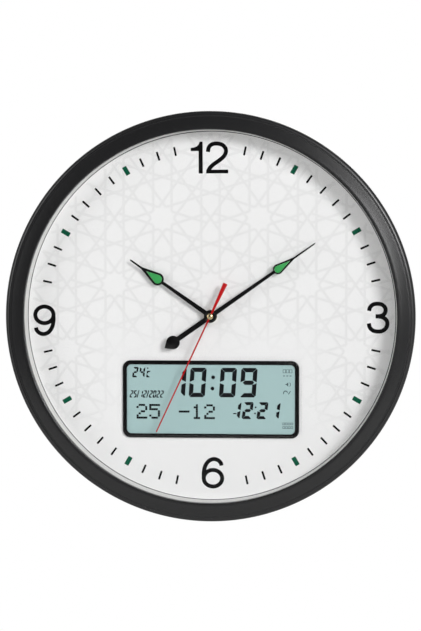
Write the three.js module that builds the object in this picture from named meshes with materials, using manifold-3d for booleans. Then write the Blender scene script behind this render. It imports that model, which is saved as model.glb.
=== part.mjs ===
// Round wall clock with an analogue quartz movement and a liquid crystal module, in millimetres.
// The pieces are drawn in the face frame: X right, Y up, Z out of the wall towards the reader, with
// the origin on the hand axis in the wall plane. One group turns that frame so that up is +Z.
import * as THREE from "three";
import { mergeVertices } from "three/addons/utils/BufferGeometryUtils.js";
import Module from "manifold-3d";

const wasm = await Module();
wasm.setup();

// Clearances and counts
const fitGap = 0.3; // between pieces that are clipped, laid or seated together
const pressGap = 0.05; // between a hand or cap and the tube that it is pressed on
const overrun = 1; // how far a cutting shape reaches past the face that it cuts
const rimSteps = 48;
const discSteps = 18;
const cellSteps = 12;
const holeSteps = 8;
const arcSteps = 3;
const cornerSteps = 2;

// Rim, from the wall plane forward
const caseRadius = 165;
const rimFront = 46;
const rimWall = 2.6;
const rimShoulder = 3.2;
const rimDraft = 1.6;
const rimBand = 14.6;
const rimOpeningRadius = caseRadius - rimBand;
const rimLipWidth = 1.8;
const rimLipDrop = 2.6;

// Lens, spacer ring and dial behind the rim's lip
const lensGrip = 4.1;
const lensRadius = rimOpeningRadius + lensGrip;
const lensThickness = 2;
const ringInset = 0.2;
const ringTaper = 1.7;
const ringFrontRadius = rimOpeningRadius - ringInset;
const ringRearRadius = ringFrontRadius - ringTaper;
const ringHeight = 11.4;
const dialInset = 1.5;
const dialRadius = lensRadius - dialInset;
const dialThickness = 1;
const dialRear = 25;
const dialFront = dialRear + dialThickness;
const ringRear = dialFront + fitGap;
const ringFront = ringRear + ringHeight;
const lensRear = ringFront + fitGap;
const lensFront = lensRear + lensThickness;
const lensPocketRadius = lensRadius + fitGap;
const lensPocketDepth = 4.4;

// Back cover
const footHeight = 2;
const footInset = 17;
const footRadius = caseRadius - footInset;
const footWidth = 6;
const coverThickness = 3;
const coverRear = footHeight;
const coverFront = coverRear + coverThickness;
const coverRadius = caseRadius - rimDraft;
const coverRib = 1.8;
const pressRingInset = 4;
const pressRingRadius = dialRadius - pressRingInset;
const rimRear = coverFront + fitGap;

// Case screws in bosses inside the rim
const caseScrewAngles = [45, 135, 225, 315];
const bossRadius = 3.6;
const caseScrew = { headRadius: 2.9, headHeight: 1.5, shankRadius: 1.2, length: 12 };
const bossCircle = lensPocketRadius + fitGap + bossRadius;
const screwCrownShare = 0.6;

// Keyhole for the wall nail
const keyholeHeadRadius = 5;
const keyholeSlotWidth = 4.5;
const keyholeSlotLength = 12;
const keyholeInset = 36;
const keyholeY = footRadius - keyholeInset;

// Liquid crystal module in the window of the dial
const lcdDropShare = 0.409;
const lcdWidthShare = 0.8685;
const lcdHeightShare = 0.3806;
const lcdY = -caseRadius * lcdDropShare;
const lcdWidth = caseRadius * lcdWidthShare;
const lcdHeight = caseRadius * lcdHeightShare;
const lcdCorner = 6.2;
const lcdBorder = 3.2;
const lcdLip = 1.6;
const lcdBodyInset = 0.9;
const lcdWall = 0.9;
const lcdBodyDepth = 7.5;
const lcdGlassThickness = 2.2;
const lcdBackingThickness = 1.2;
const zebraWidth = 2.4;
const zebraInset = 3;
const zebraLengthShare = 0.9;
const boardThickness = 1.6;
const boardMargin = 3;
const boardScrew = { headRadius: 2.4, headHeight: 1.2, shankRadius: 0.9, length: 5 };

// Keys and sound switch, reached through the back cover
const keyNames = ["set", "up", "down", "mode", "azan"];
const keyPitchShare = 0.1256;
const keyDrop = 4.5;
const keyPitch = lcdWidth * keyPitchShare;
const keyY = lcdY - keyDrop;
const keyFirstX = -3 * keyPitch;
const keyCapRadius = 4.4;
const keyFlangeRadius = 6;
const keyFlangeThickness = 1.2;
const keyStemRadius = 1.6;
const keyRailLength = 7 * keyPitch;
const keyProud = 1.1;
const keyTravel = 1;
const tactSize = 6;
const tactHeight = 2.4;
const switchPlaceShare = 2.55;
const switchX = keyPitch * switchPlaceShare;
const switchSlotLength = 12;
const switchSlotWidth = 4;
const switchKnobLength = 4.6;
const switchTravel = 3;
const switchFlange = 1.4;
const switchFlangeLength = 16;
const switchFlangeWidth = 8;

// Battery bay of the prayer-time module
const cellRadius = 7.1;
const cellLength = 49.6;
const cellNubRadius = 2.6;
const cellNubHeight = 0.9;
const bayInset = 32;
const bayY = bayInset - footRadius;
const bayWall = 1.6;
const bayCellGap = 0.8;
const contactThickness = 0.5;
const contactBow = 1.6;
const contactWidth = 9;
const contactReachShare = 0.8;
const moverContactShare = 0.6;
const doorMargin = 3;
const doorThickness = 1.4;
const doorTravel = 12;

// Speaker behind its grille
const speakerInset = 60;
const speakerX = speakerInset - footRadius;
const speakerY = 2;
const speakerRadius = 28.5;
const speakerDepth = 15;
const speakerMetal = 1;
const speakerRoll = 4;
const speakerRingHeight = 4;
const magnetRadius = 15;
const magnetHeight = 6;
const grilleRows = 7;
const grilleSlotWidth = 2.4;
const grillePitch = 6.6;

// Leads inside the case
const leadRadius = 1.3;
const leadSides = 6;
const leadSteps = 12;

// Quartz movement
const moverWall = 1.5;
const moverEndRoom = 1.7;
const moverSize = cellLength + 2 * (moverWall + moverEndRoom);
const moverCorner = 5;
const moverDepth = 15;
const gasketThickness = 0.8;
const moverFront = dialRear - gasketThickness;
const moverRear = moverFront - moverDepth;
const floorFront = moverRear + moverWall;
const lidRear = moverFront - moverWall;
const cradleWall = 1.2;
const trainBottomY = moverWall + 2 * cellRadius + 3 * fitGap + cradleWall - moverSize / 2;
const cellAxisY = trainBottomY - cradleWall - fitGap - cellRadius;
const cradleFloor = 0.9;
const neckRadius = 3.8;
const neckBore = 2.6;
const neckLength = 5.4;
const gasketRadius = 9;
const washerRadius = 5.1;
const washerThickness = 0.5;
const nutRadius = 5.2;
const nutHeight = 2;
const pivotDepth = 1;

// Gear train: modules, wheels and arbors
const wheelThickness = 0.8;
const minutePinionWidth = 2;
const arborRadius = 0.45;
const rotorModule = 0.4;
const secondModule = 0.5;
const thirdModule = 0.4;
const motionModule = 0.55;
const addendumShare = 0.85;
const dedendumShare = 1.15;
const rootToothShare = 0.52;
const tipToothShare = 0.2;
const rotorTeeth = 6;
const intermediateTeeth = 36;
const intermediatePinionTeeth = 6;
const secondTeeth = 30;
const secondPinionTeeth = 6;
const thirdTeeth = 45;
const thirdPinionTeeth = 6;
const centreTeeth = 48;
const minutePinionTeeth = 8;
const motionTeeth = 32;
const motionPinionTeeth = 8;
const hourTeeth = 24;
const knobTeeth = 10;
const intermediateAngle = 20;
const rotorAngle = 80;
const thirdAngle = 115;
const motionAngle = 180;
const knobAngle = 210;
const minuteTubeRadius = 1.3;
const minuteTubeBore = 0.75;
const hourTubeRadius = 2.3;
const hourTubeBore = 1.6;
const rotorMagnetRadius = 3;
const rotorMagnetHeight = 3.6;
const statorThickness = 0.8;
const statorHoleRadius = 3.6;
const coilRadius = 3.8;
const coilLength = 16.8;
const windingShare = 0.84;
const coreWidth = 3;
const knobRadius = 5;
const knobHeight = 3.2;
const knobStemRadius = 1.5;
const knobFlutes = 10;
const knobFluteRadius = 1;

// Hands, as lengths from the hand axis
const handThickness = 0.6;
const hourHandRear = 30.2;
const handSpacing = 2.2;
const hubRadius = 5.2;
const hourHand = {
  tip: 79.6, tipWidth: 1.3, armWidth: 3.4, dropCentre: 52.3, dropRadius: 5.1,
  inlayRadius: 3.5, inlayEnd: 63.2, neckAt: 68, neckWidth: 1.7, turned: 304.9,
};
const minuteHand = {
  tip: 103.1, tipWidth: 1.1, armWidth: 3.1, dropCentre: 66.7, dropRadius: 4.1,
  inlayRadius: 2.85, inlayEnd: 78.4, neckAt: 82, neckWidth: 1.5, turned: 55,
  tailCentre: 36.9, tailRadius: 5.5, tailEnd: 45.1, tailWidth: 3.5,
};
const secondHand = { tip: 103.3, width: 1.3, tipWidth: 1, tail: 29.5, tailWidth: 3.7, turned: 205 };
const secondHubRadius = 2.2;
const capRadius = 2.5;
const capHeight = 1.4;
const capCrownShare = 0.8;
const capBoreShare = 0.75;
const inlayInset = 0.1;

// Finishes
const finish = (color, roughness, metalness = 0) =>
  new THREE.MeshStandardMaterial({ color, roughness, metalness });
const finishes = {
  rim: finish(0x343434, 0.5),
  lens: new THREE.MeshStandardMaterial({
    color: 0xf4f8f8, roughness: 0.05, transparent: true, opacity: 0.15,
  }),
  white: finish(0xe6e6e4, 0.6),
  black: finish(0x141516, 0.25),
  cover: finish(0x232426, 0.65),
  lcd: finish(0xa8c5c6, 0.3),
  board: finish(0x1f6b3a, 0.5),
  rubber: finish(0x2b2b2b, 0.9),
  steel: finish(0xb9bcc0, 0.35, 1),
  brass: finish(0xc9a75e, 0.3, 1),
  copper: finish(0xa8552a, 0.4, 1),
  paper: finish(0x2a2a2c, 0.9),
  acetal: finish(0xe9e7df, 0.45),
  cell: finish(0x6f7377, 0.35, 0.6),
  hand: finish(0x0f0f10, 0.4),
  green: finish(0x3db35e, 0.5),
  red: finish(0xc8161d, 0.4),
};

// Turns a closed three.js geometry into a solid that can be joined and cut.
function solidOf(geometry) {
  const bare = geometry.clone();
  bare.deleteAttribute("normal");
  bare.deleteAttribute("uv");
  const merged = mergeVertices(bare);
  const index = merged.index.array;
  const kept = [];
  for (let i = 0; i < index.length; i += 3) {
    const [a, b, c] = [index[i], index[i + 1], index[i + 2]];
    if (a !== b && b !== c && c !== a) kept.push(a, b, c);
  }
  const vertProperties = merged.attributes.position.array;
  return new wasm.Manifold(new wasm.Mesh({ numProp: 3, vertProperties, triVerts: new Uint32Array(kept) }));
}

function geometryOf(solid) {
  const mesh = solid.getMesh();
  const geometry = new THREE.BufferGeometry();
  geometry.setAttribute("position", new THREE.BufferAttribute(mesh.vertProperties, 3));
  geometry.setIndex(new THREE.BufferAttribute(mesh.triVerts, 1));
  const flat = geometry.toNonIndexed();
  flat.computeVertexNormals();
  return flat;
}

const join = (...solids) => solids.reduce((whole, next) => whole.add(next));
const cut = (solid, ...tools) => tools.reduce((whole, next) => whole.subtract(next), solid);

// A flat outline made thick from the rear level to the front level.
function slab(shape, rear, front, curveSegments = cornerSteps) {
  const settings = { depth: front - rear, bevelEnabled: false, curveSegments };
  return solidOf(new THREE.ExtrudeGeometry(shape, settings).translate(0, 0, rear));
}

// A closed profile of [radius, level] points turned about the face frame's Z axis.
function revolved(profile, steps) {
  const points = profile.map(([radius, level]) => new THREE.Vector2(radius, level));
  if (THREE.ShapeUtils.area(points) < 0) points.reverse();
  const onAxis = points.filter((point) => point.x === 0).length > 0;
  if (onAxis) {
    while (points[0].x !== 0 || points[points.length - 1].x !== 0) points.push(points.shift());
  } else {
    points.push(points[0].clone());
  }
  return solidOf(new THREE.LatheGeometry(points, steps).rotateX(Math.PI / 2));
}

function disc(radius, rear, front, x = 0, y = 0, steps = discSteps) {
  const geometry = new THREE.CylinderGeometry(radius, radius, front - rear, steps);
  return solidOf(geometry.rotateX(Math.PI / 2).translate(x, y, (rear + front) / 2));
}

function ringOf(outer, inner, rear, front, steps = discSteps) {
  return revolved([[inner, rear], [outer, rear], [outer, front], [inner, front]], steps);
}

function block(width, height, rear, front, x = 0, y = 0) {
  return solidOf(new THREE.BoxGeometry(width, height, front - rear).translate(x, y, (rear + front) / 2));
}

function roundedRect(width, height, corner, x = 0, y = 0) {
  const [left, right, low, high] = [x - width / 2, x + width / 2, y - height / 2, y + height / 2];
  const shape = new THREE.Shape();
  shape.moveTo(left + corner, low);
  shape.lineTo(right - corner, low);
  shape.absarc(right - corner, low + corner, corner, -Math.PI / 2, 0);
  shape.lineTo(right, high - corner);
  shape.absarc(right - corner, high - corner, corner, 0, Math.PI / 2);
  shape.lineTo(left + corner, high);
  shape.absarc(left + corner, high - corner, corner, Math.PI / 2, Math.PI);
  shape.lineTo(left, low + corner);
  shape.absarc(left + corner, low + corner, corner, Math.PI, 1.5 * Math.PI);
  return shape;
}

const turn = (degrees) => THREE.MathUtils.degToRad(degrees);
const polar = (radius, degrees) => [radius * Math.cos(turn(degrees)), radius * Math.sin(turn(degrees))];

const clock = new THREE.Group();
clock.name = "azan_clock";
const face = new THREE.Group();
face.rotation.x = Math.PI / 2;
clock.add(face);

// Puts one named piece in the face frame, or in another group of it.
function place(name, solid, material, { x = 0, y = 0, turned = 0, into = face } = {}) {
  const mesh = new THREE.Mesh(geometryOf(solid), material);
  mesh.name = name;
  mesh.position.set(x, y, 0);
  mesh.rotation.z = turned;
  into.add(mesh);
}

// The points of a quarter circle from one angle to another, for a profile's round edge.
function arcPoints(centreX, centreY, radius, from, to, steps = arcSteps) {
  const points = [];
  for (let i = 0; i <= steps; i++) {
    const [x, y] = polar(radius, from + ((to - from) * i) / steps);
    points.push([centreX + x, centreY + y]);
  }
  return points;
}

function rimSolid() {
  const pocketOuter = lensPocketRadius + rimWall;
  const pocketRear = lensRear - lensPocketDepth + lensThickness;
  const lensSeat = lensFront + fitGap;
  const profile = [
    [coverRadius, rimRear],
    ...arcPoints(caseRadius - rimShoulder, rimFront - rimShoulder, rimShoulder, 0, 90),
    [rimOpeningRadius + rimLipWidth, rimFront],
    [rimOpeningRadius, rimFront - rimLipDrop],
    [rimOpeningRadius, lensSeat],
    [lensPocketRadius, lensSeat],
    [lensPocketRadius, pocketRear],
    [pocketOuter, pocketRear],
    [pocketOuter, rimFront - rimWall],
    [caseRadius - rimWall - rimShoulder / 2, rimFront - rimWall],
    [caseRadius - rimWall, rimFront - rimShoulder],
    [coverRadius - rimWall, rimRear],
  ];
  let rim = revolved(profile, rimSteps);
  for (const angle of caseScrewAngles) {
    const [x, y] = polar(bossCircle, angle);
    const boss = disc(bossRadius, rimRear, rimFront - rimWall / 2, x, y, holeSteps);
    const holeFront = rimRear + caseScrew.length;
    const hole = disc(caseScrew.shankRadius + fitGap, rimRear - overrun, holeFront, x, y, holeSteps);
    rim = cut(join(rim, boss), hole);
  }
  return rim;
}

function screwSolid(screw, headRear) {
  const headFront = headRear + screw.headHeight;
  const head = [
    [0, headRear],
    [screw.headRadius * screwCrownShare, headRear],
    [screw.headRadius, headRear + screw.headHeight / 2],
    [screw.headRadius, headFront],
  ];
  const shank = [
    [screw.shankRadius, headFront],
    [screw.shankRadius, headFront + screw.length - screw.shankRadius],
    [0, headFront + screw.length],
  ];
  return revolved([...head, ...shank], holeSteps);
}

// Case
const caseScrewRear = coverRear - fitGap - caseScrew.headHeight;

function placeCase() {
  place("rim", rimSolid(), finishes.rim);
  place("lens", disc(lensRadius, lensRear, lensFront, 0, 0, rimSteps), finishes.lens);
  const ringProfile = [
    [ringRearRadius, ringRear],
    [dialRadius, ringRear],
    [dialRadius, ringFront],
    [ringFrontRadius, ringFront],
  ];
  place("inner_ring", revolved(ringProfile, rimSteps), finishes.white);
  place("dial", dialSolid(), finishes.white);
  place("back_cover", coverSolid(), finishes.cover);
  caseScrewAngles.forEach((angle, i) => {
    const [x, y] = polar(bossCircle, angle);
    place(`case_screw_${i + 1}`, screwSolid(caseScrew, caseScrewRear), finishes.steel, { x, y });
  });
}

const lcdBodyWidth = lcdWidth - 2 * lcdBodyInset;
const lcdBodyHeight = lcdHeight - 2 * lcdBodyInset;
const lcdBodyCorner = lcdCorner - lcdBodyInset;

function dialSolid() {
  const window = roundedRect(lcdBodyWidth + 2 * fitGap, lcdBodyHeight + 2 * fitGap, lcdBodyCorner, 0, lcdY);
  return cut(
    disc(dialRadius, dialRear, dialFront, 0, 0, rimSteps),
    disc(neckRadius + fitGap, dialRear - overrun, dialFront + overrun),
    slab(window, dialRear - overrun, dialFront + overrun),
  );
}

// Battery bay, shared by the cover, the cells, the contacts and the door
const bayLength = cellLength + cellNubHeight + 2 * (contactThickness + contactBow + fitGap);
const bayHeight = 4 * cellRadius + 3 * bayCellGap;
const doorRecessRear = coverRear + doorThickness + 2 * fitGap;
const bayCellAxis = doorRecessRear + fitGap + cellRadius;
const bayFloorRear = bayCellAxis + cellRadius + fitGap;
const bayCellYs = [1, -1].map((side) => bayY + side * (cellRadius + bayCellGap / 2));
const doorWidth = bayLength + 2 * doorMargin;
const doorHeight = bayHeight + 2 * doorMargin;
const moverOpening = moverSize + 2 * coverRib;

function grilleCuts() {
  const rows = [];
  for (let i = 0; i < grilleRows; i++) {
    const offset = (i - (grilleRows - 1) / 2) * grillePitch;
    const reach = speakerRadius - 2 * speakerMetal - speakerRoll;
    const length = 2 * Math.sqrt(reach * reach - offset * offset) - grilleSlotWidth;
    const corner = grilleSlotWidth / 2 - pressGap;
    const slot = roundedRect(length, grilleSlotWidth, corner, speakerX, speakerY + offset);
    rows.push(slab(slot, coverRear - overrun, coverFront + overrun));
  }
  return rows;
}

function keyholeCut() {
  const from = coverRear - overrun;
  const to = coverFront + overrun;
  const slotY = keyholeY + keyholeSlotLength / 2;
  return join(
    disc(keyholeHeadRadius, from, to, 0, keyholeY),
    block(keyholeSlotWidth, keyholeSlotLength, from, to, 0, slotY),
    disc(keyholeSlotWidth / 2, from, to, 0, keyholeY + keyholeSlotLength),
  );
}

function coverSolid() {
  const pressTop = dialRear - fitGap;
  const pressInner = pressRingRadius - coverRib;
  const profile = [
    [0, coverRear],
    [footRadius, coverRear],
    [footRadius, 0],
    [footRadius + footWidth, 0],
    [footRadius + footWidth, coverRear],
    [coverRadius - coverThickness / 2, coverRear],
    [coverRadius, coverRear + coverThickness / 2],
    [coverRadius, coverFront],
    [pressRingRadius, coverFront],
    [pressRingRadius, pressTop],
    [pressInner, pressTop],
    [pressInner, coverFront],
    [0, coverFront],
  ];
  const plate = revolved(profile, rimSteps);
  const skirtRise = moverRear + moverWall;
  const moverWindow = roundedRect(moverOpening, moverOpening, moverCorner + coverRib);
  const skirt = slab(
    roundedRect(moverOpening + 2 * coverRib, moverOpening + 2 * coverRib, moverCorner + 2 * coverRib),
    coverRear,
    skirtRise,
  );
  const tub = slab(
    roundedRect(bayLength + 2 * bayWall, bayHeight + 2 * bayWall, bayWall, 0, bayY),
    coverRear,
    bayFloorRear + bayWall,
  );
  const recessHeight = doorHeight + doorTravel + 2 * fitGap;
  const recess = slab(
    roundedRect(doorWidth + 2 * fitGap, recessHeight, doorMargin, 0, bayY - doorTravel / 2),
    coverRear - overrun,
    doorRecessRear,
  );
  const ringBore = speakerRadius + fitGap;
  const ringTop = coverFront + speakerRingHeight;
  const speakerRing = ringOf(ringBore + coverRib, ringBore, coverFront - pressGap, ringTop)
    .translate([speakerX, speakerY, 0]);
  const keyRail = slab(
    roundedRect(keyRailLength, 4 * keyFlangeRadius, keyFlangeRadius, 0, keyY),
    coverFront - pressGap,
    coverFront + keyFlangeThickness,
  );
  const shell = join(plate, skirt, tub, speakerRing, keyRail);
  const keyCuts = keyNames.map((_, i) => {
    const x = keyFirstX + i * keyPitch;
    const seatFront = coverFront + 2 * keyFlangeThickness;
    const through = disc(
      keyCapRadius + fitGap, coverRear - overrun, coverFront + overrun, x, keyY, holeSteps,
    );
    return join(through, disc(keyFlangeRadius + fitGap, coverFront, seatFront, x, keyY, holeSteps));
  });
  const switchCut = join(
    block(switchSlotLength, switchSlotWidth, coverRear - overrun, coverFront + overrun, switchX, keyY),
    block(
      switchFlangeLength + 2 * (switchTravel + fitGap),
      switchFlangeWidth + 2 * fitGap,
      coverFront,
      coverFront + 2 * keyFlangeThickness,
      switchX,
      keyY,
    ),
  );
  const screwCuts = caseScrewAngles.map((angle) => {
    const [x, y] = polar(bossCircle, angle);
    return disc(caseScrew.shankRadius + fitGap, coverRear - overrun, coverFront + overrun, x, y, holeSteps);
  });
  return cut(
    shell,
    slab(moverWindow, coverRear - overrun, skirtRise + overrun),
    slab(roundedRect(bayLength, bayHeight, bayWall, 0, bayY), coverRear - overrun, bayFloorRear),
    recess,
    keyholeCut(),
    ...grilleCuts(),
    ...keyCuts,
    switchCut,
    ...screwCuts,
  );
}

// Liquid crystal module
const glassFront = dialFront + lcdLip / 2;
const glassRear = glassFront - lcdGlassThickness;
const backingRear = glassRear - fitGap - lcdBackingThickness;
const boardFront = dialFront - lcdBodyDepth;
const boardRear = boardFront - boardThickness;
const cavityWidth = lcdBodyWidth - 2 * lcdWall;
const cavityHeight = lcdBodyHeight - 2 * lcdWall;
const glassWidth = cavityWidth - 2 * fitGap;
const glassHeight = cavityHeight - 2 * fitGap;
const boardBossRadius = boardScrew.shankRadius + fitGap + lcdBorder / 2;
const boardScrewX = lcdBodyWidth / 2 - boardBossRadius;

function lcdFrameSolid() {
  const flangeOutline = roundedRect(lcdWidth, lcdHeight, lcdCorner, 0, lcdY);
  const bodyOutline = roundedRect(lcdBodyWidth, lcdBodyHeight, lcdBodyCorner, 0, lcdY);
  const flange = slab(flangeOutline, dialFront + fitGap, dialFront + lcdLip + fitGap);
  const body = slab(bodyOutline, boardFront + fitGap, dialFront + lcdLip);
  const window = slab(
    roundedRect(lcdWidth - 2 * lcdBorder, lcdHeight - 2 * lcdBorder, lcdBodyCorner, 0, lcdY),
    glassFront - overrun,
    dialFront + lcdLip + overrun,
  );
  const cavity = slab(
    roundedRect(cavityWidth, cavityHeight, lcdBodyCorner, 0, lcdY),
    boardFront - overrun,
    glassFront + fitGap,
  );
  const hole = boardScrew.shankRadius + fitGap;
  const bosses = [-1, 1].map((side) =>
    disc(boardBossRadius, boardFront + fitGap, backingRear - fitGap, side * boardScrewX, lcdY, holeSteps),
  );
  const holes = [-1, 1].map((side) =>
    disc(hole, boardFront - overrun, boardFront + boardScrew.length, side * boardScrewX, lcdY, holeSteps),
  );
  return cut(join(cut(join(flange, body), window, cavity), ...bosses), ...holes);
}

function boardSolid() {
  const [width, height] = [lcdBodyWidth - boardMargin, lcdBodyHeight - boardMargin];
  const outline = roundedRect(width, height, lcdBodyCorner, 0, lcdY);
  const hole = boardScrew.shankRadius + fitGap;
  const holes = [-1, 1].map((side) =>
    disc(hole, boardRear - overrun, boardFront + overrun, side * boardScrewX, lcdY, holeSteps),
  );
  const tacts = keyNames.map((_, i) => {
    const x = keyFirstX + i * keyPitch;
    return block(tactSize, tactSize, boardRear - tactHeight, boardRear + pressGap, x, keyY);
  });
  const slideRear = boardRear - tactHeight;
  const slideBody = block(switchFlangeLength, tactSize, slideRear, boardRear + pressGap, switchX, keyY);
  const chip = block(
    lcdCorner * 2, lcdCorner * 2, boardFront - pressGap, boardFront + tactHeight / 2, 0, lcdY,
  );
  return cut(join(slab(outline, boardRear, boardFront), ...tacts, slideBody, chip), ...holes);
}

function placeDisplay() {
  place("lcd_frame", lcdFrameSolid(), finishes.black);
  const glass = roundedRect(glassWidth, glassHeight, lcdBodyCorner, 0, lcdY);
  place("lcd_panel", slab(glass, glassRear, glassFront), finishes.lcd);
  const backing = roundedRect(
    glassWidth - 2 * zebraInset,
    glassHeight - 2 * (zebraInset + zebraWidth + fitGap),
    lcdBodyCorner,
    0,
    lcdY,
  );
  place("lcd_backing", slab(backing, backingRear, glassRear - fitGap), finishes.white);
  const zebraY = glassHeight / 2 - zebraInset - zebraWidth / 2;
  const zebraLength = glassWidth * zebraLengthShare;
  for (const [name, side] of [["upper", 1], ["lower", -1]]) {
    const y = lcdY + side * zebraY;
    const strip = block(zebraLength, zebraWidth, boardFront + fitGap, glassRear - fitGap, 0, y);
    place(`zebra_strip_${name}`, strip, finishes.rubber);
  }
  place("circuit_board", boardSolid(), finishes.board);
  [-1, 1].forEach((side, i) => {
    const screw = screwSolid(boardScrew, boardRear - fitGap - boardScrew.headHeight);
    place(`board_screw_${i + 1}`, screw, finishes.steel, { x: side * boardScrewX, y: lcdY });
  });
}

// Keys
function keySolid() {
  const flangeRear = coverFront + fitGap;
  const capRear = coverRear - keyProud;
  const stemFront = boardRear - tactHeight - keyTravel - fitGap;
  const profile = [
    [0, capRear],
    [keyCapRadius - keyProud / 2, capRear],
    [keyCapRadius, capRear + keyProud / 2],
    [keyCapRadius, flangeRear],
    [keyFlangeRadius, flangeRear],
    [keyFlangeRadius, flangeRear + keyFlangeThickness],
    [keyStemRadius, flangeRear + keyFlangeThickness],
    [keyStemRadius, stemFront],
    [0, stemFront],
  ];
  return revolved(profile, holeSteps);
}

function switchSolid() {
  const flangeRear = coverFront + fitGap;
  const knobWidth = switchSlotWidth - 2 * fitGap;
  const ridge = switchKnobLength / 3;
  const knob = block(switchKnobLength, knobWidth, coverRear - keyProud, flangeRear + pressGap);
  const grooveRear = coverRear - keyProud - overrun;
  const grooves = [-1, 1].map((side) =>
    block(ridge / 2, knobWidth + overrun, grooveRear, coverRear - keyProud / 2, (side * ridge) / 2),
  );
  const flange = block(switchFlangeLength, switchFlangeWidth, flangeRear, flangeRear + switchFlange);
  const fork = block(ridge, knobWidth, flangeRear, boardRear - tactHeight - fitGap);
  return join(cut(knob, ...grooves), flange, fork);
}

function placeControls() {
  keyNames.forEach((name, i) => {
    place(`key_${name}`, keySolid(), finishes.rubber, { x: keyFirstX + i * keyPitch, y: keyY });
  });
  place("sound_switch", switchSolid(), finishes.white, { x: switchX, y: keyY });
}

// Cells and contacts
function cellSolid(length) {
  const bevel = cellNubHeight;
  const profile = [
    [0, -length / 2],
    [cellRadius - bevel, -length / 2],
    [cellRadius, bevel - length / 2],
    [cellRadius, length / 2 - bevel],
    [cellRadius - bevel, length / 2],
    [cellNubRadius, length / 2],
    [cellNubRadius, length / 2 + cellNubHeight],
    [0, length / 2 + cellNubHeight],
  ];
  return revolved(profile, cellSteps).rotate([0, 90, 0]);
}

// A sprung strip that stands on its end wall and bows towards the cell.
function contactSolid(width, rear, front, bow) {
  const third = (front - rear) / 3;
  const strip = new THREE.Shape();
  strip.moveTo(0, rear);
  strip.lineTo(0, front);
  strip.lineTo(contactThickness, front);
  strip.lineTo(contactThickness, front - third / 2);
  strip.quadraticCurveTo(contactThickness + 2 * bow, (rear + front) / 2, contactThickness, rear + third / 2);
  strip.lineTo(contactThickness, rear);
  const settings = { depth: width, bevelEnabled: false, curveSegments: arcSteps };
  const geometry = new THREE.ExtrudeGeometry(strip, settings);
  return solidOf(geometry.rotateX(Math.PI / 2).translate(0, width / 2, 0));
}

function doorSolid() {
  const outline = roundedRect(doorWidth, doorHeight, doorMargin, 0, bayY);
  const gripFront = coverRear + doorThickness / 3;
  const gripFirstY = bayY - doorHeight / 2 + doorMargin;
  const grips = [1, 2, 3].map((row) => {
    const y = gripFirstY + (row * doorMargin) / 2;
    return block(doorWidth / 4, doorThickness / 2, coverRear - overrun, gripFront, 0, y);
  });
  return cut(slab(outline, coverRear, coverRear + doorThickness), ...grips);
}

function placeBatteryBay() {
  place("battery_door", doorSolid(), finishes.cover);
  const contactRear = bayCellAxis - cellRadius * contactReachShare;
  const contactFront = bayCellAxis + cellRadius * contactReachShare;
  const leftX = fitGap - bayLength / 2;
  const shift = cellNubHeight / 2;
  const upper = cellSolid(cellLength).translate([-shift, 0, bayCellAxis]);
  place("battery_1", upper, finishes.cell, { y: bayCellYs[0] });
  const turned = cellSolid(cellLength).rotate([0, 0, 180]).translate([shift, 0, bayCellAxis]);
  place("battery_2", turned, finishes.cell, { y: bayCellYs[1] });
  const bow = contactBow - fitGap;
  const bridge = contactSolid(bayHeight - 2 * bayWall, contactRear, contactFront, bow);
  place("bridge_contact", bridge, finishes.steel, { x: leftX, y: bayY });
  ["plus", "minus"].forEach((name, i) => {
    const strip = contactSolid(contactWidth, contactRear, contactFront, bow).mirror([1, 0, 0]);
    place(`${name}_contact`, strip, finishes.steel, { x: -leftX, y: bayCellYs[i] });
  });
}

// Speaker: a pressed basket, a paper cone facing the grille and a magnet on the basket's front
function placeSpeaker() {
  const rear = coverFront + fitGap;
  const front = rear + speakerDepth - magnetHeight;
  const coneInner = magnetRadius / 2;
  const basket = [
    [speakerRadius - speakerRoll, rear],
    [speakerRadius, rear],
    [speakerRadius, rear + speakerMetal * 2],
    [magnetRadius, front],
    [magnetRadius / 3, front],
    [magnetRadius / 3, front - speakerMetal],
    [magnetRadius - speakerMetal, front - speakerMetal],
    [speakerRadius - speakerRoll, rear + speakerMetal * 2],
  ];
  const coneReach = speakerRadius - speakerRoll - fitGap;
  const coneRear = rear + speakerMetal / 2;
  const cone = [
    [0, front - 3 * speakerMetal],
    [coneInner, front - 3 * speakerMetal],
    [coneReach - speakerRoll, coneRear + speakerMetal],
    [coneReach - speakerRoll / 2, coneRear],
    [coneReach, coneRear + speakerMetal],
    [coneReach - speakerRoll / 2, coneRear + speakerMetal / 2],
    [coneReach - speakerRoll, coneRear + 2 * speakerMetal],
    [coneInner, front - 2 * speakerMetal],
    [0, front - 2 * speakerMetal],
  ];
  const at = { x: speakerX, y: speakerY };
  place("speaker_basket", revolved(basket, discSteps), finishes.steel, at);
  place("speaker_cone", revolved(cone, discSteps), finishes.paper, at);
  const magnet = disc(magnetRadius - fitGap, front + fitGap, front + magnetHeight);
  place("speaker_magnet", magnet, finishes.cell, at);
}

// A round lead along a smooth curve through hand-placed points.
function leadSolid(points) {
  const path = new THREE.CatmullRomCurve3(points.map((point) => new THREE.Vector3(...point)));
  const section = new THREE.Shape();
  for (let i = 0; i < leadSides; i++) {
    const [x, y] = polar(leadRadius, (360 * i) / leadSides);
    if (i === 0) section.moveTo(x, y);
    else section.lineTo(x, y);
  }
  const settings = { steps: leadSteps, extrudePath: path, bevelEnabled: false };
  return solidOf(new THREE.ExtrudeGeometry(section, settings));
}

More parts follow.
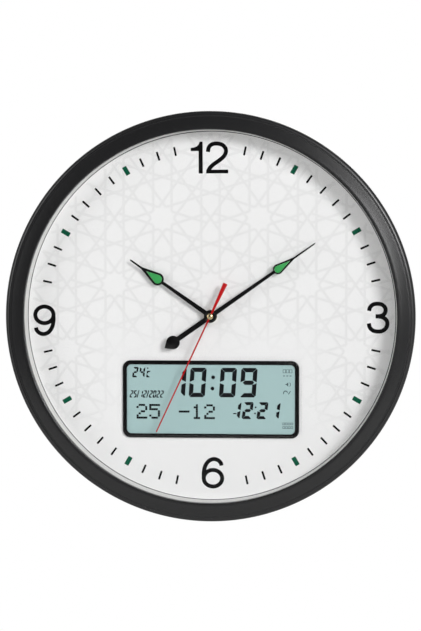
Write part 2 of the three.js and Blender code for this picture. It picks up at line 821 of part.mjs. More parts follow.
function placeLeads() {
  const boardEdgeY = lcdY + lcdBodyHeight / 2 - boardMargin;
  const run = boardRear - 2 * leadRadius;
  const speakerTop = coverFront + fitGap + speakerMetal * 2;
  const ringEdge = speakerX + speakerRadius + 2 * fitGap + coverRib;
  const speakerLead = leadSolid([
    [ringEdge + leadRadius, speakerY - leadRadius, speakerTop + 2 * leadRadius],
    [ringEdge + 4 * leadRadius, speakerY - 9 * leadRadius, run - leadRadius],
    [-boardScrewX + tactSize, boardEdgeY + leadRadius, run],
    [-boardScrewX + 2 * tactSize, boardEdgeY - 2 * boardMargin, run + leadRadius],
  ]);
  place("speaker_lead", speakerLead, finishes.red);
  const bayEdge = bayLength / 2 + bayWall + leadRadius + fitGap;
  const batteryLead = leadSolid([
    [bayEdge, bayY, coverFront + 2 * leadRadius],
    [bayEdge, bayY + bayHeight / 4, bayCellAxis],
    [bayEdge, bayY + bayHeight / 2 + 5 * leadRadius, run],
    [bayEdge, lcdY - lcdBodyHeight / 2 + 3 * boardMargin, run + leadRadius],
  ]);
  place("battery_lead", batteryLead, finishes.black);
}

// A toothed disc with a tooth centred on angle 0.
function gearShape(teeth, module, bore = 0) {
  const pitchRadius = (teeth * module) / 2;
  const tip = pitchRadius + addendumShare * module;
  const root = pitchRadius - dedendumShare * module;
  const pitch = (2 * Math.PI) / teeth;
  const shape = new THREE.Shape();
  for (let i = 0; i < teeth; i++) {
    const corners = [
      [root, -rootToothShare / 2],
      [tip, -tipToothShare / 2],
      [tip, tipToothShare / 2],
      [root, rootToothShare / 2],
    ];
    for (const [radius, share] of corners) {
      const angle = (i + share) * pitch;
      const [x, y] = [radius * Math.cos(angle), radius * Math.sin(angle)];
      if (i === 0 && share === -rootToothShare / 2 && radius === root) shape.moveTo(x, y);
      else shape.lineTo(x, y);
    }
  }
  if (bore > 0) {
    const hole = new THREE.Path();
    hole.absarc(0, 0, bore, 0, 2 * Math.PI);
    shape.holes.push(hole);
  }
  return shape;
}

const gear = (teeth, module, rear, front, bore) =>
  slab(gearShape(teeth, module, bore), rear, front, holeSteps / 2);

// The turn, in radians, that meshes a gear with its driver: a tooth of one faces a gap of the other.
// lineAngle is the direction, in degrees, from the driver's axis to the gear's.
function meshTurn(driverTeeth, driverTurn, teeth, lineAngle) {
  const line = turn(lineAngle);
  return line + Math.PI - Math.PI / teeth + ((line - driverTurn) * driverTeeth) / teeth;
}

const centreDistance = (teethA, teethB, module) => (module * (teethA + teethB)) / 2;

// Places of the arbors, from the hand axis outward
const intermediateAt = polar(
  centreDistance(secondTeeth, intermediatePinionTeeth, secondModule), intermediateAngle,
);
const rotorOffset = polar(centreDistance(intermediateTeeth, rotorTeeth, rotorModule), rotorAngle);
const rotorAt = [intermediateAt[0] + rotorOffset[0], intermediateAt[1] + rotorOffset[1]];
const thirdDistance = centreDistance(thirdTeeth, secondPinionTeeth, thirdModule);
const thirdAt = polar(thirdDistance, thirdAngle);
const centreModule = (2 * thirdDistance) / (centreTeeth + thirdPinionTeeth);
const motionDistance = centreDistance(motionTeeth, minutePinionTeeth, motionModule);
const motionAt = polar(motionDistance, motionAngle);
const hourModule = (2 * motionDistance) / (hourTeeth + motionPinionTeeth);
const knobOffset = polar(centreDistance(motionTeeth, knobTeeth, motionModule), knobAngle);
const knobAt = [motionAt[0] + knobOffset[0], motionAt[1] + knobOffset[1]];

// Levels of the train, from the movement's floor forward
const pivotRear = floorFront - pivotDepth + fitGap;
const pivotFront = lidRear + pivotDepth - fitGap;
const intermediateRear = floorFront + fitGap;
const intermediateFront = intermediateRear + wheelThickness;
const secondRear = intermediateFront + 2 * fitGap;
const secondFront = secondRear + wheelThickness;
const thirdRear = secondFront + 2 * fitGap;
const thirdFront = thirdRear + wheelThickness;
const minuteFlangeRear = thirdFront + 2 * fitGap;
const centreRear = minuteFlangeRear + wheelThickness + fitGap;
const centreFront = centreRear + wheelThickness;
const minutePinionFront = centreFront + fitGap + minutePinionWidth;
const motionRear = centreFront + 2 * fitGap;
const motionFront = motionRear + wheelThickness;
const hourRear = minutePinionFront + fitGap;
const hourFront = hourRear + wheelThickness;
const minuteHandRear = hourHandRear + handSpacing;
const secondHandRear = minuteHandRear + handSpacing;

function moverBaseSolid() {
  const front = lidRear - fitGap;
  const inner = moverSize - 2 * moverWall;
  const trainHeight = moverSize / 2 - moverWall - trainBottomY;
  const trainY = (moverSize / 2 - moverWall + trainBottomY) / 2;
  const cradleLow = -moverSize / 2 + moverWall;
  const cradleHigh = trainBottomY - cradleWall;
  const shell = slab(roundedRect(moverSize, moverSize, moverCorner), moverRear, front);
  const train = slab(
    roundedRect(inner, trainHeight, moverWall, 0, trainY),
    floorFront,
    front + overrun,
  );
  const cradleY = (cradleHigh + cradleLow) / 2;
  const cradleHeight = cradleHigh - cradleLow;
  const cradle = block(inner, cradleHeight, moverRear - overrun, front - cradleFloor, 0, cradleY);
  const pivots = [[0, 0], thirdAt, motionAt, rotorAt].map(([x, y]) =>
    disc(arborRadius + fitGap, floorFront - pivotDepth, floorFront + overrun, x, y, holeSteps),
  );
  const knobHole = disc(
    knobStemRadius + fitGap, moverRear - overrun, floorFront + overrun, ...knobAt, holeSteps,
  );
  const stud = disc(arborRadius, floorFront - pressGap, thirdRear + fitGap, ...intermediateAt, holeSteps);
  const posts = statorPosts.map(([x, y]) =>
    disc(statorPostRadius, floorFront - pressGap, statorRear - fitGap, x, y, holeSteps),
  );
  return join(cut(shell, train, cradle, ...pivots, knobHole), stud, ...posts);
}

// Stator: a flat core with a hole round the rotor and two arms that carry the coil's core
const statorRear = thirdFront + fitGap;
const statorFront = statorRear + statorThickness;
const statorArm = 3.6;
const statorPostRadius = 1.2;
const statorLeft = rotorAt[0] - coilLength / 2 - statorArm;
const statorRight = rotorAt[0] + coilLength / 2 + statorArm;
const statorLow = rotorAt[1] - statorHoleRadius - cradleWall;
const statorBarHigh = rotorAt[1] + statorHoleRadius + cradleWall;
const coilAxisY = statorBarHigh + fitGap + coilRadius;
const statorHigh = coilAxisY + coilRadius;
const coilAxisZ = statorFront + fitGap + statorThickness / 2;
const statorPostY = statorHigh - statorArm / 2;
const statorPosts = [
  [statorLeft + statorArm / 2, statorPostY],
  [statorRight - statorArm / 2, statorPostY],
];

function statorSolid() {
  const outline = new THREE.Shape();
  outline.moveTo(statorLeft, statorLow);
  outline.lineTo(statorRight, statorLow);
  outline.lineTo(statorRight, statorHigh);
  outline.lineTo(statorRight - statorArm, statorHigh);
  outline.lineTo(statorRight - statorArm, statorBarHigh);
  outline.lineTo(statorLeft + statorArm, statorBarHigh);
  outline.lineTo(statorLeft + statorArm, statorHigh);
  outline.lineTo(statorLeft, statorHigh);
  return cut(
    slab(outline, statorRear, statorFront),
    disc(statorHoleRadius, statorRear - overrun, statorFront + overrun, ...rotorAt),
  );
}

function coilSolid() {
  const halfLength = coilLength / 2 - fitGap;
  const windingRadius = coilRadius * windingShare;
  const profile = [
    [0, -halfLength],
    [coilRadius, -halfLength],
    [coilRadius, moverWall / 2 - halfLength],
    [windingRadius, moverWall / 2 - halfLength],
    [windingRadius, halfLength - moverWall / 2],
    [coilRadius, halfLength - moverWall / 2],
    [coilRadius, halfLength],
    [0, halfLength],
  ];
  const bobbin = revolved(profile, holeSteps)
    .rotate([0, 90, 0])
    .translate([rotorAt[0], coilAxisY, coilAxisZ]);
  const core = block(
    statorRight - statorLeft,
    coreWidth,
    coilAxisZ - statorThickness / 2,
    coilAxisZ + statorThickness / 2,
    rotorAt[0],
    coilAxisY,
  );
  return join(bobbin, core);
}

function moverLidSolid() {
  const plate = slab(roundedRect(moverSize, moverSize, moverCorner), lidRear, moverFront);
  const neck = disc(neckRadius, lidRear, moverFront + neckLength);
  const bore = disc(neckBore, lidRear - overrun, moverFront + neckLength + overrun);
  const pivots = [thirdAt, motionAt, rotorAt, knobAt].map(([x, y]) =>
    disc(arborRadius + fitGap, lidRear - overrun, lidRear + pivotDepth, x, y, holeSteps),
  );
  return cut(join(plate, neck), bore, ...pivots);
}

function placeMovement() {
  place("movement_base", moverBaseSolid(), finishes.black);
  place("movement_cover", moverLidSolid(), finishes.black);
  const bore = neckRadius + fitGap;
  place("rubber_gasket", ringOf(gasketRadius, bore, moverFront, dialRear), finishes.rubber);
  const washerFront = dialFront + washerThickness;
  place("mounting_washer", ringOf(washerRadius, bore, dialFront, washerFront), finishes.brass);
  const nut = cut(
    disc(nutRadius, washerFront, washerFront + nutHeight, 0, 0, 6),
    disc(bore, washerFront - overrun, washerFront + nutHeight + overrun),
  );
  place("mounting_nut", nut, finishes.brass);
  place("stator", statorSolid(), finishes.steel);
  place("coil", coilSolid(), finishes.copper);
  const boardLeft = 1.5 * moverWall - moverSize / 2;
  const boardWidth = statorLeft - fitGap - boardLeft;
  const boardX = boardLeft + boardWidth / 2;
  const boardHeight = moverSize / 8;
  const boardY = moverSize / 2 - 1.5 * moverWall - boardHeight / 2;
  const board = block(boardWidth, boardHeight, intermediateRear, intermediateFront, boardX, boardY);
  place("movement_board", board, finishes.board);
  const cellZ = lidRear - fitGap - cradleFloor - fitGap - cellRadius;
  place("movement_cell", cellSolid(cellLength).translate([0, 0, cellZ]), finishes.cell, { y: cellAxisY });
  const wallX = moverSize / 2 - moverWall - fitGap;
  const reach = cellRadius * moverContactShare;
  const sideRoom = wallX - contactThickness - cellLength / 2;
  const plusStrip = contactSolid(contactWidth, cellZ - reach, cellZ + reach, (sideRoom - cellNubHeight) / 2);
  const minusStrip = contactSolid(contactWidth, cellZ - reach, cellZ + reach, sideRoom / 2);
  place("cell_contact_plus", plusStrip.mirror([1, 0, 0]), finishes.steel, { x: wallX, y: cellAxisY });
  place("cell_contact_minus", minusStrip, finishes.steel, { x: -wallX, y: cellAxisY });
}

const arbor = (rear, front) => disc(arborRadius, rear, front, 0, 0, holeSteps);

function placeTrain() {
  const intermediateTurn = meshTurn(secondTeeth, 0, intermediatePinionTeeth, intermediateAngle);
  const rotorTurn = meshTurn(intermediateTeeth, intermediateTurn, rotorTeeth, rotorAngle);
  const thirdTurn = meshTurn(secondPinionTeeth, 0, thirdTeeth, thirdAngle);
  const centreTurn = meshTurn(thirdPinionTeeth, thirdTurn, centreTeeth, thirdAngle + 180);
  const motionTurn = meshTurn(minutePinionTeeth, 0, motionTeeth, motionAngle);
  const hourTurn = meshTurn(motionPinionTeeth, motionTurn, hourTeeth, motionAngle + 180);
  const knobTurn = meshTurn(motionTeeth, motionTurn, knobTeeth, knobAngle);

  const rotorMagnetRear = intermediateFront + 2 * wheelThickness;
  const rotor = join(
    arbor(pivotRear, pivotFront),
    gear(rotorTeeth, rotorModule, intermediateRear, intermediateFront + wheelThickness),
    disc(rotorMagnetRadius, rotorMagnetRear, rotorMagnetRear + rotorMagnetHeight),
  );
  place("rotor", rotor, finishes.cell, { x: rotorAt[0], y: rotorAt[1], turned: rotorTurn });

  const studBore = arborRadius + fitGap;
  const intermediate = join(
    gear(intermediateTeeth, rotorModule, intermediateRear, intermediateFront, studBore),
    gear(intermediatePinionTeeth, secondModule, intermediateFront - pressGap, thirdRear - fitGap, studBore),
  );
  const [x, y] = intermediateAt;
  place("intermediate_wheel", intermediate, finishes.acetal, { x, y, turned: intermediateTurn });

  const second = join(
    arbor(pivotRear, secondHandRear + handThickness + capHeight / 2),
    gear(secondTeeth, secondModule, secondRear, secondFront),
    gear(secondPinionTeeth, thirdModule, secondFront - pressGap, thirdFront + fitGap),
  );
  place("second_wheel", second, finishes.acetal);

  const third = join(
    arbor(pivotRear, pivotFront),
    gear(thirdTeeth, thirdModule, thirdRear, thirdFront),
    gear(thirdPinionTeeth, centreModule, thirdFront - pressGap, centreFront + fitGap),
  );
  place("third_wheel", third, finishes.acetal, { x: thirdAt[0], y: thirdAt[1], turned: thirdTurn });

  const clutchBore = minuteTubeRadius + fitGap;
  const centre = gear(centreTeeth, centreModule, centreRear, centreFront, clutchBore);
  place("centre_wheel", centre, finishes.acetal, { turned: centreTurn });

  const minuteTubeFront = minuteHandRear + handThickness;
  const minute = cut(
    join(
      disc(minuteTubeRadius, minuteFlangeRear, minuteTubeFront),
      disc(2 * minuteTubeRadius, minuteFlangeRear, minuteFlangeRear + wheelThickness),
      gear(minutePinionTeeth, motionModule, centreFront + fitGap, minutePinionFront),
    ),
    disc(minuteTubeBore, minuteFlangeRear - overrun, minuteTubeFront + overrun),
  );
  place("minute_arbor", minute, finishes.brass);

  const motion = join(
    arbor(pivotRear, pivotFront),
    gear(motionTeeth, motionModule, motionRear, motionFront),
    gear(motionPinionTeeth, hourModule, motionFront - pressGap, hourFront + fitGap),
  );
  place("motion_wheel", motion, finishes.acetal, { x: motionAt[0], y: motionAt[1], turned: motionTurn });

  const hourTubeFront = hourHandRear + handThickness;
  const hour = cut(
    join(
      gear(hourTeeth, hourModule, hourRear, hourFront),
      disc(neckBore + fitGap, hourRear, lidRear - fitGap),
      disc(hourTubeRadius, hourRear, hourTubeFront),
    ),
    disc(hourTubeBore, hourRear - overrun, hourTubeFront + overrun),
  );
  place("hour_wheel", hour, finishes.acetal, { turned: hourTurn });

  const knobRear = moverRear - fitGap - knobHeight;
  const flutes = [];
  for (let i = 0; i < knobFlutes; i++) {
    const [fluteX, fluteY] = polar(knobRadius + knobRadius / knobFlutes, (360 * i) / knobFlutes);
    const fluteFront = knobRear + knobHeight + overrun;
    flutes.push(disc(knobFluteRadius, knobRear - overrun, fluteFront, fluteX, fluteY, holeSteps));
  }
  const knob = join(
    cut(disc(knobRadius, knobRear, knobRear + knobHeight), ...flutes),
    disc(knobStemRadius, knobRear, motionFront + fitGap, 0, 0, holeSteps),
    gear(knobTeeth, motionModule, motionRear - fitGap, motionFront + fitGap),
    arbor(motionFront, pivotFront),
  );
  place("setting_knob", knob, finishes.white, { x: knobAt[0], y: knobAt[1], turned: knobTurn });
}

// Half of a hand's outline, as [half width, distance from the axis], mirrored to the other side.
function mirrored(half) {
  const shape = new THREE.Shape();
  half.forEach(([x, y], i) => (i === 0 ? shape.moveTo(x, y) : shape.lineTo(x, y)));
  [...half].reverse().forEach(([x, y]) => {
    if (x > 0) shape.lineTo(-x, y);
  });
  return shape;
}

// The right side of a drop: the round end at its centre, running to a point or a neck further out.
function dropSide(centre, radius, endHalfWidth, endAt, enterHalfWidth) {
  const tangent = THREE.MathUtils.radToDeg(Math.asin((radius - endHalfWidth) / (endAt - centre)));
  const start = -90 + THREE.MathUtils.radToDeg(Math.asin(enterHalfWidth / radius));
  return [...arcPoints(0, centre, radius, start, tangent, 2 * arcSteps), [endHalfWidth, endAt]];
}

function handBlank(hand, rear) {
  const half = [
    [hand.armWidth / 2, 0],
    ...dropSide(hand.dropCentre, hand.dropRadius, hand.neckWidth / 2, hand.neckAt, hand.armWidth / 2),
    [hand.tipWidth / 2, hand.tip - hand.tipWidth],
    [0, hand.tip],
  ];
  return join(slab(mirrored(half), rear, rear + handThickness), disc(hubRadius, rear, rear + handThickness));
}

function inlayShape(hand, shrink) {
  const half = dropSide(hand.dropCentre, hand.inlayRadius - shrink, 0, hand.inlayEnd - 2 * shrink, 0);
  return mirrored(half);
}

function placeHand(name, hand, rear, tubeRadius, tail) {
  const front = rear + handThickness;
  const blank = tail ? join(handBlank(hand, rear), tail) : handBlank(hand, rear);
  const solid = cut(
    blank,
    slab(inlayShape(hand, 0), rear - overrun, front + overrun),
    disc(tubeRadius + pressGap, rear - overrun, front + overrun),
  );
  const turned = -turn(hand.turned);
  place(`${name}_hand`, solid, finishes.hand, { turned });
  const inlay = slab(inlayShape(hand, pressGap), rear + inlayInset, front - inlayInset);
  place(`${name}_inlay`, inlay, finishes.green, { turned });
}

function placeHands() {
  placeHand("hour", hourHand, hourHandRear, hourTubeRadius);
  const { tailWidth, tailCentre, tailRadius, tailEnd } = minuteHand;
  const tailHalf = [[tailWidth / 2, 0], ...dropSide(tailCentre, tailRadius, 0, tailEnd, tailWidth / 2)];
  const tail = slab(mirrored(tailHalf), minuteHandRear, minuteHandRear + handThickness).rotate([0, 0, 180]);
  placeHand("minute", minuteHand, minuteHandRear, minuteTubeRadius, tail);

  const rear = secondHandRear;
  const front = rear + handThickness;
  const pointer = [
    [secondHand.tailWidth / 2, -secondHand.tail],
    [secondHand.width / 2, 0],
    [secondHand.tipWidth / 2, secondHand.tip],
  ];
  const blade = join(slab(mirrored(pointer), rear, front), disc(secondHubRadius, rear, front));
  const turned = -turn(secondHand.turned);
  const bore = arborRadius + pressGap;
  place("second_hand", cut(blade, disc(bore, rear - overrun, front + overrun)), finishes.red, { turned });
  const capRear = front + pressGap;
  const cap = [
    [bore, capRear],
    [capRadius, capRear],
    [capRadius, capRear + capHeight / 2],
    [capRadius * capCrownShare, capRear + capHeight],
    [0, capRear + capHeight],
    [0, capRear + capHeight * capBoreShare],
    [bore, capRear + capHeight * capBoreShare],
  ];
  place("second_cap", revolved(cap, cellSteps), finishes.brass, { turned });
}

placeCase();
placeDisplay();
placeControls();
placeBatteryBay();
placeSpeaker();
placeLeads();
placeMovement();
placeTrain();
placeHands();

export default clock;
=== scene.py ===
# Round azan wall clock: the visible pieces, finishes, light and camera, built round the packed
# frame. The face frame is in millimetres: x right, y up, z out of the wall, with the origin on the
# hand axis in the wall plane. Every point of a piece goes through place(), which gives metres.
import itertools
import math

import bmesh
import bpy
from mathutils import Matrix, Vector


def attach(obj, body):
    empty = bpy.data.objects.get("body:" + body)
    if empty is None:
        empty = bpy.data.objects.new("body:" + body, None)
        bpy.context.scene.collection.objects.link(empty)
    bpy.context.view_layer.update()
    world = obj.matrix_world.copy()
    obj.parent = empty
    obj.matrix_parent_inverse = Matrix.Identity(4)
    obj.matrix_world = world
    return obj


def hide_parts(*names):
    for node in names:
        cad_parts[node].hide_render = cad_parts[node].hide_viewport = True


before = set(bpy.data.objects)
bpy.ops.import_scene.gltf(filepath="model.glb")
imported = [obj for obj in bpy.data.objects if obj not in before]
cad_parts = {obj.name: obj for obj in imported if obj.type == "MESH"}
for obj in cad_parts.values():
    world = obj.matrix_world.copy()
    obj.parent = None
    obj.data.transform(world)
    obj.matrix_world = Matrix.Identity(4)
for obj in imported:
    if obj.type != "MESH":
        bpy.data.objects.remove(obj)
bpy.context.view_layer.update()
MM = 0.001

# Levels and sizes that several pieces share, in millimetres
CASE_RADIUS = 165
RIM_FRONT = 46
RIM_REAR = 5.3
COVER_REAR = 2
COVER_FRONT = 5
DIAL_FRONT = 26
GLASS_FRONT = 26.8
LCD_Y = -67.485
LCD_WIDTH = 143.3
LCD_HEIGHT = 62.8
KEY_Y = -71.985
KEY_PITCH = 17.998
SWITCH_X = 45.896
BAY_Y = -116
SCREW_ANGLES = (45, 135, 225, 315)


def place(x, y, z):
    return Vector((x, -z, y)) * MM


def polar(radius, degrees, x=0, y=0):
    angle = math.radians(degrees)
    return (x + radius * math.cos(angle), y + radius * math.sin(angle))


# Materials


def linear(colour):
    """The linear colour of an sRGB hex value."""
    parts = [int(colour[i:i + 2], 16) / 255 for i in (1, 3, 5)]
    return [p / 12.92 if p <= 0.04045 else ((p + 0.055) / 1.055) ** 2.4 for p in parts] + [1.0]


def add(tree, kind, values=None, **settings):
    """One shader node of a kind, with its settings. values gives each input a constant or the
    socket that feeds it."""
    node = tree.nodes.new("ShaderNode" + kind)
    for key, value in settings.items():
        setattr(node, key, value)
    for key, value in (values or {}).items():
        if isinstance(value, bpy.types.NodeSocket):
            tree.links.new(value, node.inputs[key])
        else:
            node.inputs[key].default_value = value
    return node


def shader_of(tree):
    return tree.nodes["Principled BSDF"]


def spot(tree):
    """Places on the object, in metres, so a pattern's scale is 1 / its size in metres."""
    return add(tree, "TexCoord").outputs["Object"]


def feed(tree, name, socket):
    """Feeds an input of the shader."""
    tree.links.new(socket, shader_of(tree).inputs[name])


def relief_of(tree, height, depth_mm, strength):
    """Bump of a real depth from a pattern's height, fed to the shader."""
    bump = add(tree, "Bump", {
        "Height": height, "Distance": depth_mm * MM, "Strength": strength})
    feed(tree, "Normal", bump.outputs["Normal"])


def grain(tree, size_mm, depth_mm, strength, detail=2.0):
    """The fine relief that a textured mould or a coating leaves."""
    noise = add(tree, "TexNoise", {
        "Vector": spot(tree), "Scale": 1 / (size_mm * MM), "Detail": detail, "Roughness": 0.55})
    relief_of(tree, noise.outputs["Fac"], depth_mm, strength)


def mottle(tree, socket, low, high, size_mm, detail=3.0):
    """Slow change between two hex colours or two values across the surface."""
    noise = add(tree, "TexNoise", {
        "Vector": spot(tree), "Scale": 1 / (size_mm * MM), "Detail": detail})
    if isinstance(low, str):
        # Inputs 6 and 7 and output 2 of the mix are its colours.
        mix = add(tree, "Mix", {
            0: noise.outputs["Fac"], 6: linear(low), 7: linear(high)}, data_type="RGBA")
        result = mix.outputs[2]
    else:
        result = add(tree, "MapRange", {
            "Value": noise.outputs["Fac"], "From Min": 0.3, "From Max": 0.7,
            "To Min": low, "To Max": high}).outputs["Result"]
    feed(tree, socket, result)


def finish_of(name, tint=None, rough=None, relief=None, **values):
    """A new material with one Principled shader. Values that are the same all over are set on its
    own sockets. tint and rough give mottle its colours or values and their size, and relief gives
    grain its size, depth and strength."""
    material = bpy.data.materials.new(name)
    material.use_nodes = True
    tree = material.node_tree
    for key, value in values.items():
        shader_of(tree).inputs[key.replace("_", " ")].default_value = value
    if tint:
        mottle(tree, "Base Color", *tint)
    if rough:
        mottle(tree, "Roughness", *rough)
    if relief:
        grain(tree, *relief)
    return material


# Finishes that are even all over, and what each gives the eye. Screen-printed ink is an even
# film with mesh marks 0.1 mm apart, drawn at 0.25 mm.
SCREEN_INK = dict(relief=(0.25, 0.006, 0.3), Roughness=0.12, IOR=1.5)

FINISHES = {
    # ABS of the back, from a coarser etched mould: nearly black and dull.
    # Etched grain 0.6 mm across, drawn at 0.9 mm so that it shows from behind.
    "back_abs": dict(tint=("#242527", "#2A2B2D", 18), rough=(0.52, 0.64, 7),
                     relief=(0.9, 0.05, 0.5), IOR=1.53),
    # Coated card, printed and matt: pale, even, with a trace of fibre.
    # Fibre relief 0.3 mm across, drawn at 0.8 mm.
    "coated_card": dict(tint=("#F0F0F0", "#F3F3F3", 6), relief=(0.8, 0.008, 0.25), Roughness=0.62,
                        IOR=1.46),
    # Polystyrene moulded white: the spacer ring and the backing of the display
    "white_styrene": dict(tint=("#DDDDDB", "#E3E3E1", 15), relief=(0.5, 0.01, 0.3), Roughness=0.5,
                          IOR=1.55),
    # Black gloss ink of the figures and the minute marks; the same black also paints the shadow
    # line at the spacer ring's foot
    "figure_ink": dict(SCREEN_INK, Base_Color=linear("#050506")),
    # Deep green gloss ink of the hour bars
    "bar_ink": dict(SCREEN_INK, Base_Color=linear("#0B583F")),
    # ABS from a polished mould: deep black with a sharp shine
    "gloss_abs": dict(tint=("#030304", "#060607", 12), rough=(0.12, 0.18, 10),
                      relief=(3, 0.01, 0.15), IOR=1.53),
    # Grey-green polarising film over liquid crystal glass: smooth, with a faint even speckle
    "polariser_film": dict(tint=("#A6C3C3", "#ADCACA", 1.2, 4.0), relief=(0.5, 0.004, 0.2),
                           Roughness=0.3, IOR=1.5),
    # A switched-on liquid crystal segment: blue-black and flat
    "crystal_mark": dict(tint=("#070B0F", "#0B1014", 3), Roughness=0.2, IOR=1.5),
    # A segment or sign at rest, which shows as a trace of grey in the film
    "crystal_rest": dict(tint=("#3E5356", "#4A6063", 1), Roughness=0.4, IOR=1.5),
    # Stoved enamel of the hour and minute hands: an even black with a soft shine
    "black_enamel": dict(tint=("#040405", "#070708", 5), rough=(0.14, 0.22, 4),
                         relief=(0.6, 0.006, 0.25), IOR=1.5),
    # Stoved enamel of the second hand: an even red with a soft shine
    "red_enamel": dict(tint=("#B40206", "#BC040A", 5), rough=(0.16, 0.24, 4),
                       relief=(0.6, 0.006, 0.25), IOR=1.5),
    # Green lime-aluminate paint laid in the hands: dull and a little sandy.
    # Pigment 0.05 mm across, drawn at 0.3 mm.
    "luminous_paint": dict(tint=("#239744", "#30A851", 1.0, 4.0), relief=(0.3, 0.02, 0.5),
                           Roughness=0.6, IOR=1.5),
    # Steel, zinc plated and passivated: grey with a clouded shine
    "zinc_steel": dict(tint=("#A9ABAF", "#BFC1C4", 3), rough=(0.28, 0.44, 2),
                       relief=(0.6, 0.01, 0.25), Metallic=1.0),
    # Silicone rubber, moulded matt: soft edges with hardly any shine
    "moulded_rubber": dict(tint=("#29292A", "#313132", 4), rough=(0.74, 0.86, 3),
                           relief=(0.5, 0.02, 0.4), IOR=1.42, Sheen_Weight=0.08),
    # PVC lead insulation, drawn: smooth and slightly waxy
    "red_pvc": dict(tint=("#A8181B", "#B71E20", 6), rough=(0.38, 0.46, 3), IOR=1.54),
    # Paper pulp pressed to a cone: dark, dull and fibrous.
    # Fibres 1 mm long.
    "pressed_paper": dict(tint=("#232325", "#303032", 1.5, 5.0), rough=(0.85, 0.95, 2),
                          relief=(1.0, 0.06, 0.8, 5.0), IOR=1.45),
    # Glass-fibre board under green solder mask, with the weave just showing.
    # Glass weave 0.5 mm from thread to thread.
    "solder_mask": dict(tint=("#1B5E33", "#247040", 3), rough=(0.3, 0.42, 2),
                        relief=(0.5, 0.02, 0.4), IOR=1.5),
    # Acetal, moulded uncoloured: milky and slippery
    "natural_acetal": dict(tint=("#E3E1D8", "#EBE9E2", 2), rough=(0.34, 0.44, 2), IOR=1.48,
                           Subsurface_Weight=0.05),
    # ABS moulded white: the setting knob and the slide
    "white_abs": dict(tint=("#D9D8D3", "#E2E1DD", 5), rough=(0.42, 0.52, 3),
                      relief=(0.5, 0.012, 0.3), IOR=1.53),
}


def satin_abs():
    """ABS from a spark-eroded mould: a soft broad shine over a fine grain."""
    # Grain 0.3 mm across; at this picture size it only softens the shine.
    material = finish_of("satin_abs", tint=("#1A1A1B", "#1E1E1F", 24),
                         relief=(0.3, 0.006, 0.08), IOR=1.53)
    tree = material.node_tree
    # The mould is polished on the front band only, so the side wall is duller.
    where = add(tree, "SeparateXYZ", {"Vector": spot(tree)})
    side = add(tree, "MapRange", {
        "Value": where.outputs["Y"], "From Min": -0.0449, "From Max": -0.0446,
        "To Min": 0.22, "To Max": 0.46})
    feed(tree, "Roughness", side.outputs["Result"])
    return material


def float_glass():
    """Float glass 2 mm thick: clear, with a sharp mirror shine that grows towards its edge."""
    material = finish_of("float_glass")
    tree = material.node_tree
    tree.nodes.clear()
    clear = add(tree, "BsdfTransparent", {"Color": linear("#FEFEFE")})
    # The slight waviness of float glass, 80 mm from crest to crest, bends its reflections.
    wave = add(tree, "TexNoise", {
        "Vector": spot(tree), "Scale": 1 / (80 * MM), "Detail": 0.0})
    bump = add(tree, "Bump", {
        "Height": wave.outputs["Fac"], "Distance": 0.02 * MM, "Strength": 0.3})
    shine = add(tree, "BsdfAnisotropic", {
        "Color": linear("#FFFFFF"), "Roughness": 0.02, "Normal": bump.outputs["Normal"]})
    # Seen straight on, each face sends back 1.7 in 100 of the light, and far more at a slant.
    slant = add(tree, "LayerWeight", {"Blend": 0.5})
    steep = add(tree, "Math", {0: slant.outputs["Facing"], 1: 5.0}, operation="POWER")
    share = add(tree, "Math", {0: steep.outputs["Value"], 1: 0.483, 2: 0.017},
                operation="MULTIPLY_ADD")
    mix = add(tree, "MixShader", {
        "Fac": share.outputs["Value"], 1: clear.outputs["BSDF"], 2: shine.outputs["BSDF"]})
    add(tree, "OutputMaterial", {"Surface": mix.outputs["Shader"]})
    return material


def lattice_ink():
    """Pale tint printed under the figures. It fades out round the display and below it."""
    material = finish_of("lattice_ink", relief=(0.8, 0.008, 0.25), Roughness=0.62, IOR=1.46)
    tree = material.node_tree
    where = add(tree, "SeparateXYZ", {"Vector": spot(tree)})

    def rise(value, low, high):
        """From 0 to 1 between two places in metres."""
        return add(tree, "MapRange", {
            "Value": value, "From Min": low, "From Max": high}).outputs["Result"]

    across = add(tree, "Math", {0: where.outputs["X"]}, operation="ABSOLUTE")
    beside = rise(across.outputs["Value"], 0.068, 0.100)
    above = rise(where.outputs["Z"], -0.034, 0.004)
    below = rise(where.outputs["Z"], -0.100, -0.070)
    near = add(tree, "Math", {0: beside, 1: above}, operation="MAXIMUM")
    tint = add(tree, "Math", {0: near.outputs["Value"], 1: below}, operation="MULTIPLY")
    ramp = add(tree, "ValToRGB", {"Fac": tint.outputs["Value"]})
    ramp.color_ramp.elements[0].color = linear("#F1F1F1")
    ramp.color_ramp.elements[1].color = linear("#E9E9E9")
    feed(tree, "Base Color", ramp.outputs["Color"])
    return material


def ridges(tree, spacing_mm, distortion, depth_mm, strength, **settings):
    """Even ridges. At scale 1 the wave's phase turns by 20 radians in a metre."""
    wave = add(tree, "TexWave", {
        "Vector": spot(tree), "Scale": math.tau / 20 / (spacing_mm * MM),
        "Distortion": distortion}, **settings)
    relief_of(tree, wave.outputs["Fac"], depth_mm, strength)


def turned_brass():
    """Brass turned on a lathe: fine rings that draw the shine round the axis."""
    material = finish_of("turned_brass", tint=("#D2BB8A", "#E0CCA0", 2), rough=(0.12, 0.2, 1.5),
                         Metallic=1.0)
    ridges(material.node_tree, 0.35, 0.4, 0.01, 0.15, wave_type="RINGS", rings_direction="Y")
    return material


def enamelled_copper():
    """Enamelled copper wire wound in layers: fine ridges across the coil."""
    material = finish_of("enamelled_copper", tint=("#9C4A22", "#B35C30", 2), rough=(0.3, 0.4, 1),
                         Metallic=0.85)
    # Wire 0.1 mm thick, drawn at 0.5 mm.
    ridges(material.node_tree, 0.5, 0.2, 0.05, 0.6, bands_direction="X")
    return material


